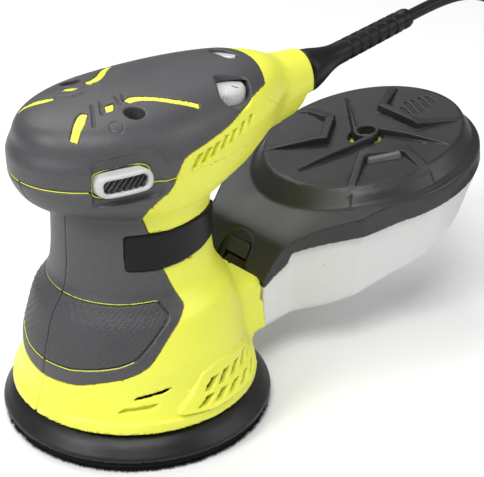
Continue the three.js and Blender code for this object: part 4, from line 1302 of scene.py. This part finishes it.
def moulded(name, colour, rough, grain, depth, tone=0.05, painted_edge_highlight=0.0, specular=0.5, stretch=None, kind="noise",
            subsurface=0.0, fleck=0.10):
    """A moulded surface: slow colour and gloss variation, a fine grain in relief, and sharp edges lightened as
    a painted highlight.
    """
    material, shader, place = blank(name)
    slow = noise(material, place, 38.0, 3.0)
    colours = two_tone(material, slow, scaled(colour, 1 - tone), scaled(colour, 1 + tone))
    grain_place = place
    if stretch:
        turned = node(material, "ShaderNodeMapping", {"Vector": place, "Rotation": stretch[0],
                                                      "Scale": stretch[1]})
        grain_place = turned.outputs["Vector"]
    if kind == "cells":
        fine = node(material, "ShaderNodeTexVoronoi", {"Vector": grain_place, "Scale": 1000 / grain})
        height = fine.outputs["Distance"]
    else:
        height = noise(material, grain_place, 1000 / grain, 2.0)
    specks = grade(material, noise(material, place, 1400.0, 1.0), 1 - fleck, 1 + fleck)
    grey = node(material, "ShaderNodeCombineColor", {"Red": specks, "Green": specks, "Blue": specks})
    colours = mix(material, 0.6, colours, grey.outputs["Color"], "MULTIPLY")
    # painted highlight: sharp convex edges are lightened in the colour itself, standing in for light catching
    # the edges
    if painted_edge_highlight:
        edge = node(material, "ShaderNodeNewGeometry").outputs["Pointiness"]
        painted_highlight_mask = node(material, "ShaderNodeMapRange", {"Value": edge, "From Min": 0.515, "From Max": 0.60,
                                                     "To Min": 0.0, "To Max": painted_edge_highlight}).outputs["Result"]
        colours = mix(material, painted_highlight_mask, colours, scaled(colour, 1.9))
    wire(material, shader, colours, grade(material, slow, rough - 0.05, rough + 0.05), height, 0.6, depth)
    shader.inputs["Specular IOR Level"].default_value = specular
    if subsurface:
        shader.inputs["Subsurface Weight"].default_value = subsurface
        shader.inputs["Subsurface Scale"].default_value = 0.004
        shader.inputs["Subsurface Radius"].default_value = (1.0, 0.9, 0.7)
    return material


def turned_metal(name, colour, rough, axis_scale=(1, 1, 14)):
    """Metal with fine tool marks round its axis."""
    material, shader, place = blank(name)
    lines = node(material, "ShaderNodeMapping", {"Vector": place, "Scale": axis_scale}).outputs["Vector"]
    marks, stain = noise(material, lines, 260.0, 4.0), noise(material, place, 60.0, 4.0)
    colours = mix(material, 0.5, two_tone(material, stain, scaled(colour, 0.8), scaled(colour, 1.08)),
                  two_tone(material, marks, scaled(colour, 0.85), scaled(colour, 1.1)))
    wire(material, shader, colours, grade(material, marks, rough - 0.1, rough + 0.1), marks, 0.3, 0.05)
    shader.inputs["Metallic"].default_value = 1.0
    return material


def dress(obj, material):
    obj.data.materials.clear()
    obj.data.materials.append(material)


def make_materials():
    lime, grey, lid = (0.82, 0.84, 0.085), (0.062, 0.061, 0.065), (0.021, 0.021, 0.022)
    # moulded's seventh argument, where it is given, is a painted highlight that lightens sharp edges
    made = {
        "lime_shell": moulded("lime", lime, 0.38, 0.55, 0.025, 0.02, specular=0.4, subsurface=0.12,
                              fleck=0.03),
        "grey_overmould": moulded("soft_grey", grey, 0.45, 0.5, 0.07, 0.06, 0.2, 0.5, fleck=0.18),
        "grip_texture": moulded("palm_grip", (0.062, 0.062, 0.066), 0.5, 1.7, 0.30, 0.08, 0.3, 0.3,
                                ((0.3, 0.75, 0.5), (1.0, 1.0, 2.2)), "cells"),
        "badge_black": moulded("plate_black", (0.004, 0.004, 0.0045), 0.38, 1.4, 0.01, 0.1, specular=0.22),
        "light_control": moulded("control_grey", (0.54, 0.55, 0.55), 0.40, 0.7, 0.03, 0.03),
        "dark_plastic": moulded("lid_dark", lid, 0.42, 0.45, 0.09, 0.08, 0.2, 0.5, fleck=0.28),
        "frosted_box": moulded("frosted", (0.74, 0.75, 0.745), 0.44, 1.1, 0.02, 0.015, specular=0.45,
                               stretch=((0, 0, 0), (3.0, 3.0, 0.4)), subsurface=0.25, fleck=0.02),
        "black_rubber": moulded("rubber_black", (0.006, 0.006, 0.0065), 0.45, 0.6, 0.04, 0.1, 0.12, 0.3),
        "pad_backing": moulded("pad_black", (0.010, 0.010, 0.0105), 0.42, 0.6, 0.05, 0.1, 0.2, 0.4),
        "pad_foam": moulded("foam", (0.005, 0.005, 0.0053), 0.85, 0.7, 0.25, 0.15, specular=0.2,
                            kind="cells"),
        "hook_fabric": moulded("hooks", (0.014, 0.0135, 0.0135), 0.9, 0.5, 0.3, 0.3, specular=0.2,
                               kind="cells"),
        "steel": turned_metal("steel_turned", (0.60, 0.61, 0.62), 0.32),
        "laminated_steel": turned_metal("laminations", (0.33, 0.34, 0.36), 0.5, (0.4, 0.4, 60)),
        "copper": turned_metal("copper_bars", (0.74, 0.36, 0.19), 0.34, (20, 20, 0.5)),
        "brass": turned_metal("brass_sheet", (0.76, 0.58, 0.25), 0.36),
        "carbon": moulded("carbon_block", (0.02, 0.02, 0.022), 0.6, 0.4, 0.06, 0.2, specular=0.5),
        "board": moulded("circuit_board", (0.03, 0.16, 0.06), 0.45, 3.0, 0.05, 0.25),
        "filter_paper": moulded("filter_paper", (0.62, 0.58, 0.46), 0.9, 0.8, 0.2, 0.08, specular=0.2),
    }
    inner = {
        "steel": ["motor_shaft", "counterweight", "lower_bearing", "upper_bearing", "pad_hub", "pad_bearing",
                  "pad_screw_1", "pad_screw_2", "pad_screw_3", "housing_screw_1", "housing_screw_2",
                  "plug_pin_1", "plug_pin_2"],
        "laminated_steel": ["stator", "rotor_stack"],
        "copper": ["commutator"],
        "carbon": ["carbon_brush_right", "carbon_brush_left"],
        "brass": ["brush_holder_right", "brush_holder_left"],
        "board": ["speed_control_board"],
        "filter_paper": ["filter_cone"],
        "black_rubber": ["pad_brake_ring", "spout_seal"],
        "dark_plastic": ["fan", "bearing_bracket", "top_bearing_holder", "cord_clamp", "switch_module",
                         "dust_spout"],
    }
    for slot, names in inner.items():
        for name in names:
            dress(frame["nodes"][name], made[slot])
    made["lens"] = moulded("lens_clear", (0.62, 0.63, 0.62), 0.18, 1.0, 0.01, 0.04, subsurface=0.3)
    made["tab"] = moulded("tab_grain", (0.115, 0.115, 0.118), 0.42, 0.8, 0.25, 0.1, 0.3, 0.6)
    special = {"lens": "lens", "lid_tab": "tab", "coil_tie": "hook_fabric"}
    for obj in list(bpy.context.scene.objects):
        if obj.type == "MESH" and obj.name not in frame["nodes"] and obj.name in FINISH:
            dress(obj, made[special.get(obj.name, FINISH[obj.name])])


# ---- floor and light ----
LIGHTS = (("key", (-0.45, -0.45, 1.35), 0.8, 12.5), ("left", (-0.98, 0.12, 0.92), 0.45, 8.0),
          ("fill", (0.85, -1.0, 0.8), 0.8, 5.0), ("rear", (0.3, 0.9, 1.5), 1.4, 15.0))


def make_studio():
    bpy.ops.mesh.primitive_grid_add(x_subdivisions=40, y_subdivisions=40, size=8)
    floor = bpy.context.object
    floor.name = "studio_floor"
    floor.location.z = -0.0004
    material, shader, place = blank("studio_paper")
    tone = node(material, "ShaderNodeTexNoise", {"Vector": place, "Scale": 3.0}).outputs["Fac"]
    material.node_tree.links.new(two_tone(material, tone, (0.88, 0.88, 0.88), (0.90, 0.90, 0.90)),
                                 shader.inputs["Base Color"])
    shader.inputs["Roughness"].default_value = 0.9
    shader.inputs["Specular IOR Level"].default_value = 0.0
    floor.data.materials.append(material)
    world = bpy.data.worlds.new("studio")
    bpy.context.scene.world = world
    world.use_nodes = True
    world.node_tree.nodes["Background"].inputs["Color"].default_value = (1, 1, 1, 1)
    world.node_tree.nodes["Background"].inputs["Strength"].default_value = 0.17
    for name, position, size, power in LIGHTS:
        data = bpy.data.lights.new(name, "AREA")
        data.shape = "DISK"
        data.size, data.energy = size, power
        lamp = bpy.data.objects.new(name, data)
        bpy.context.scene.collection.objects.link(lamp)
        lamp.location = position
        aim = Vector((0.06, 0, 0.07)) - lamp.location
        lamp.rotation_euler = aim.to_track_quat("-Z", "Y").to_euler()
    bpy.context.scene.view_settings.view_transform = "Standard"


make_lead()
make_body()
make_controls()
make_pad()
make_dust_box()
make_materials()
make_studio()

bpy.context.view_layer.update()
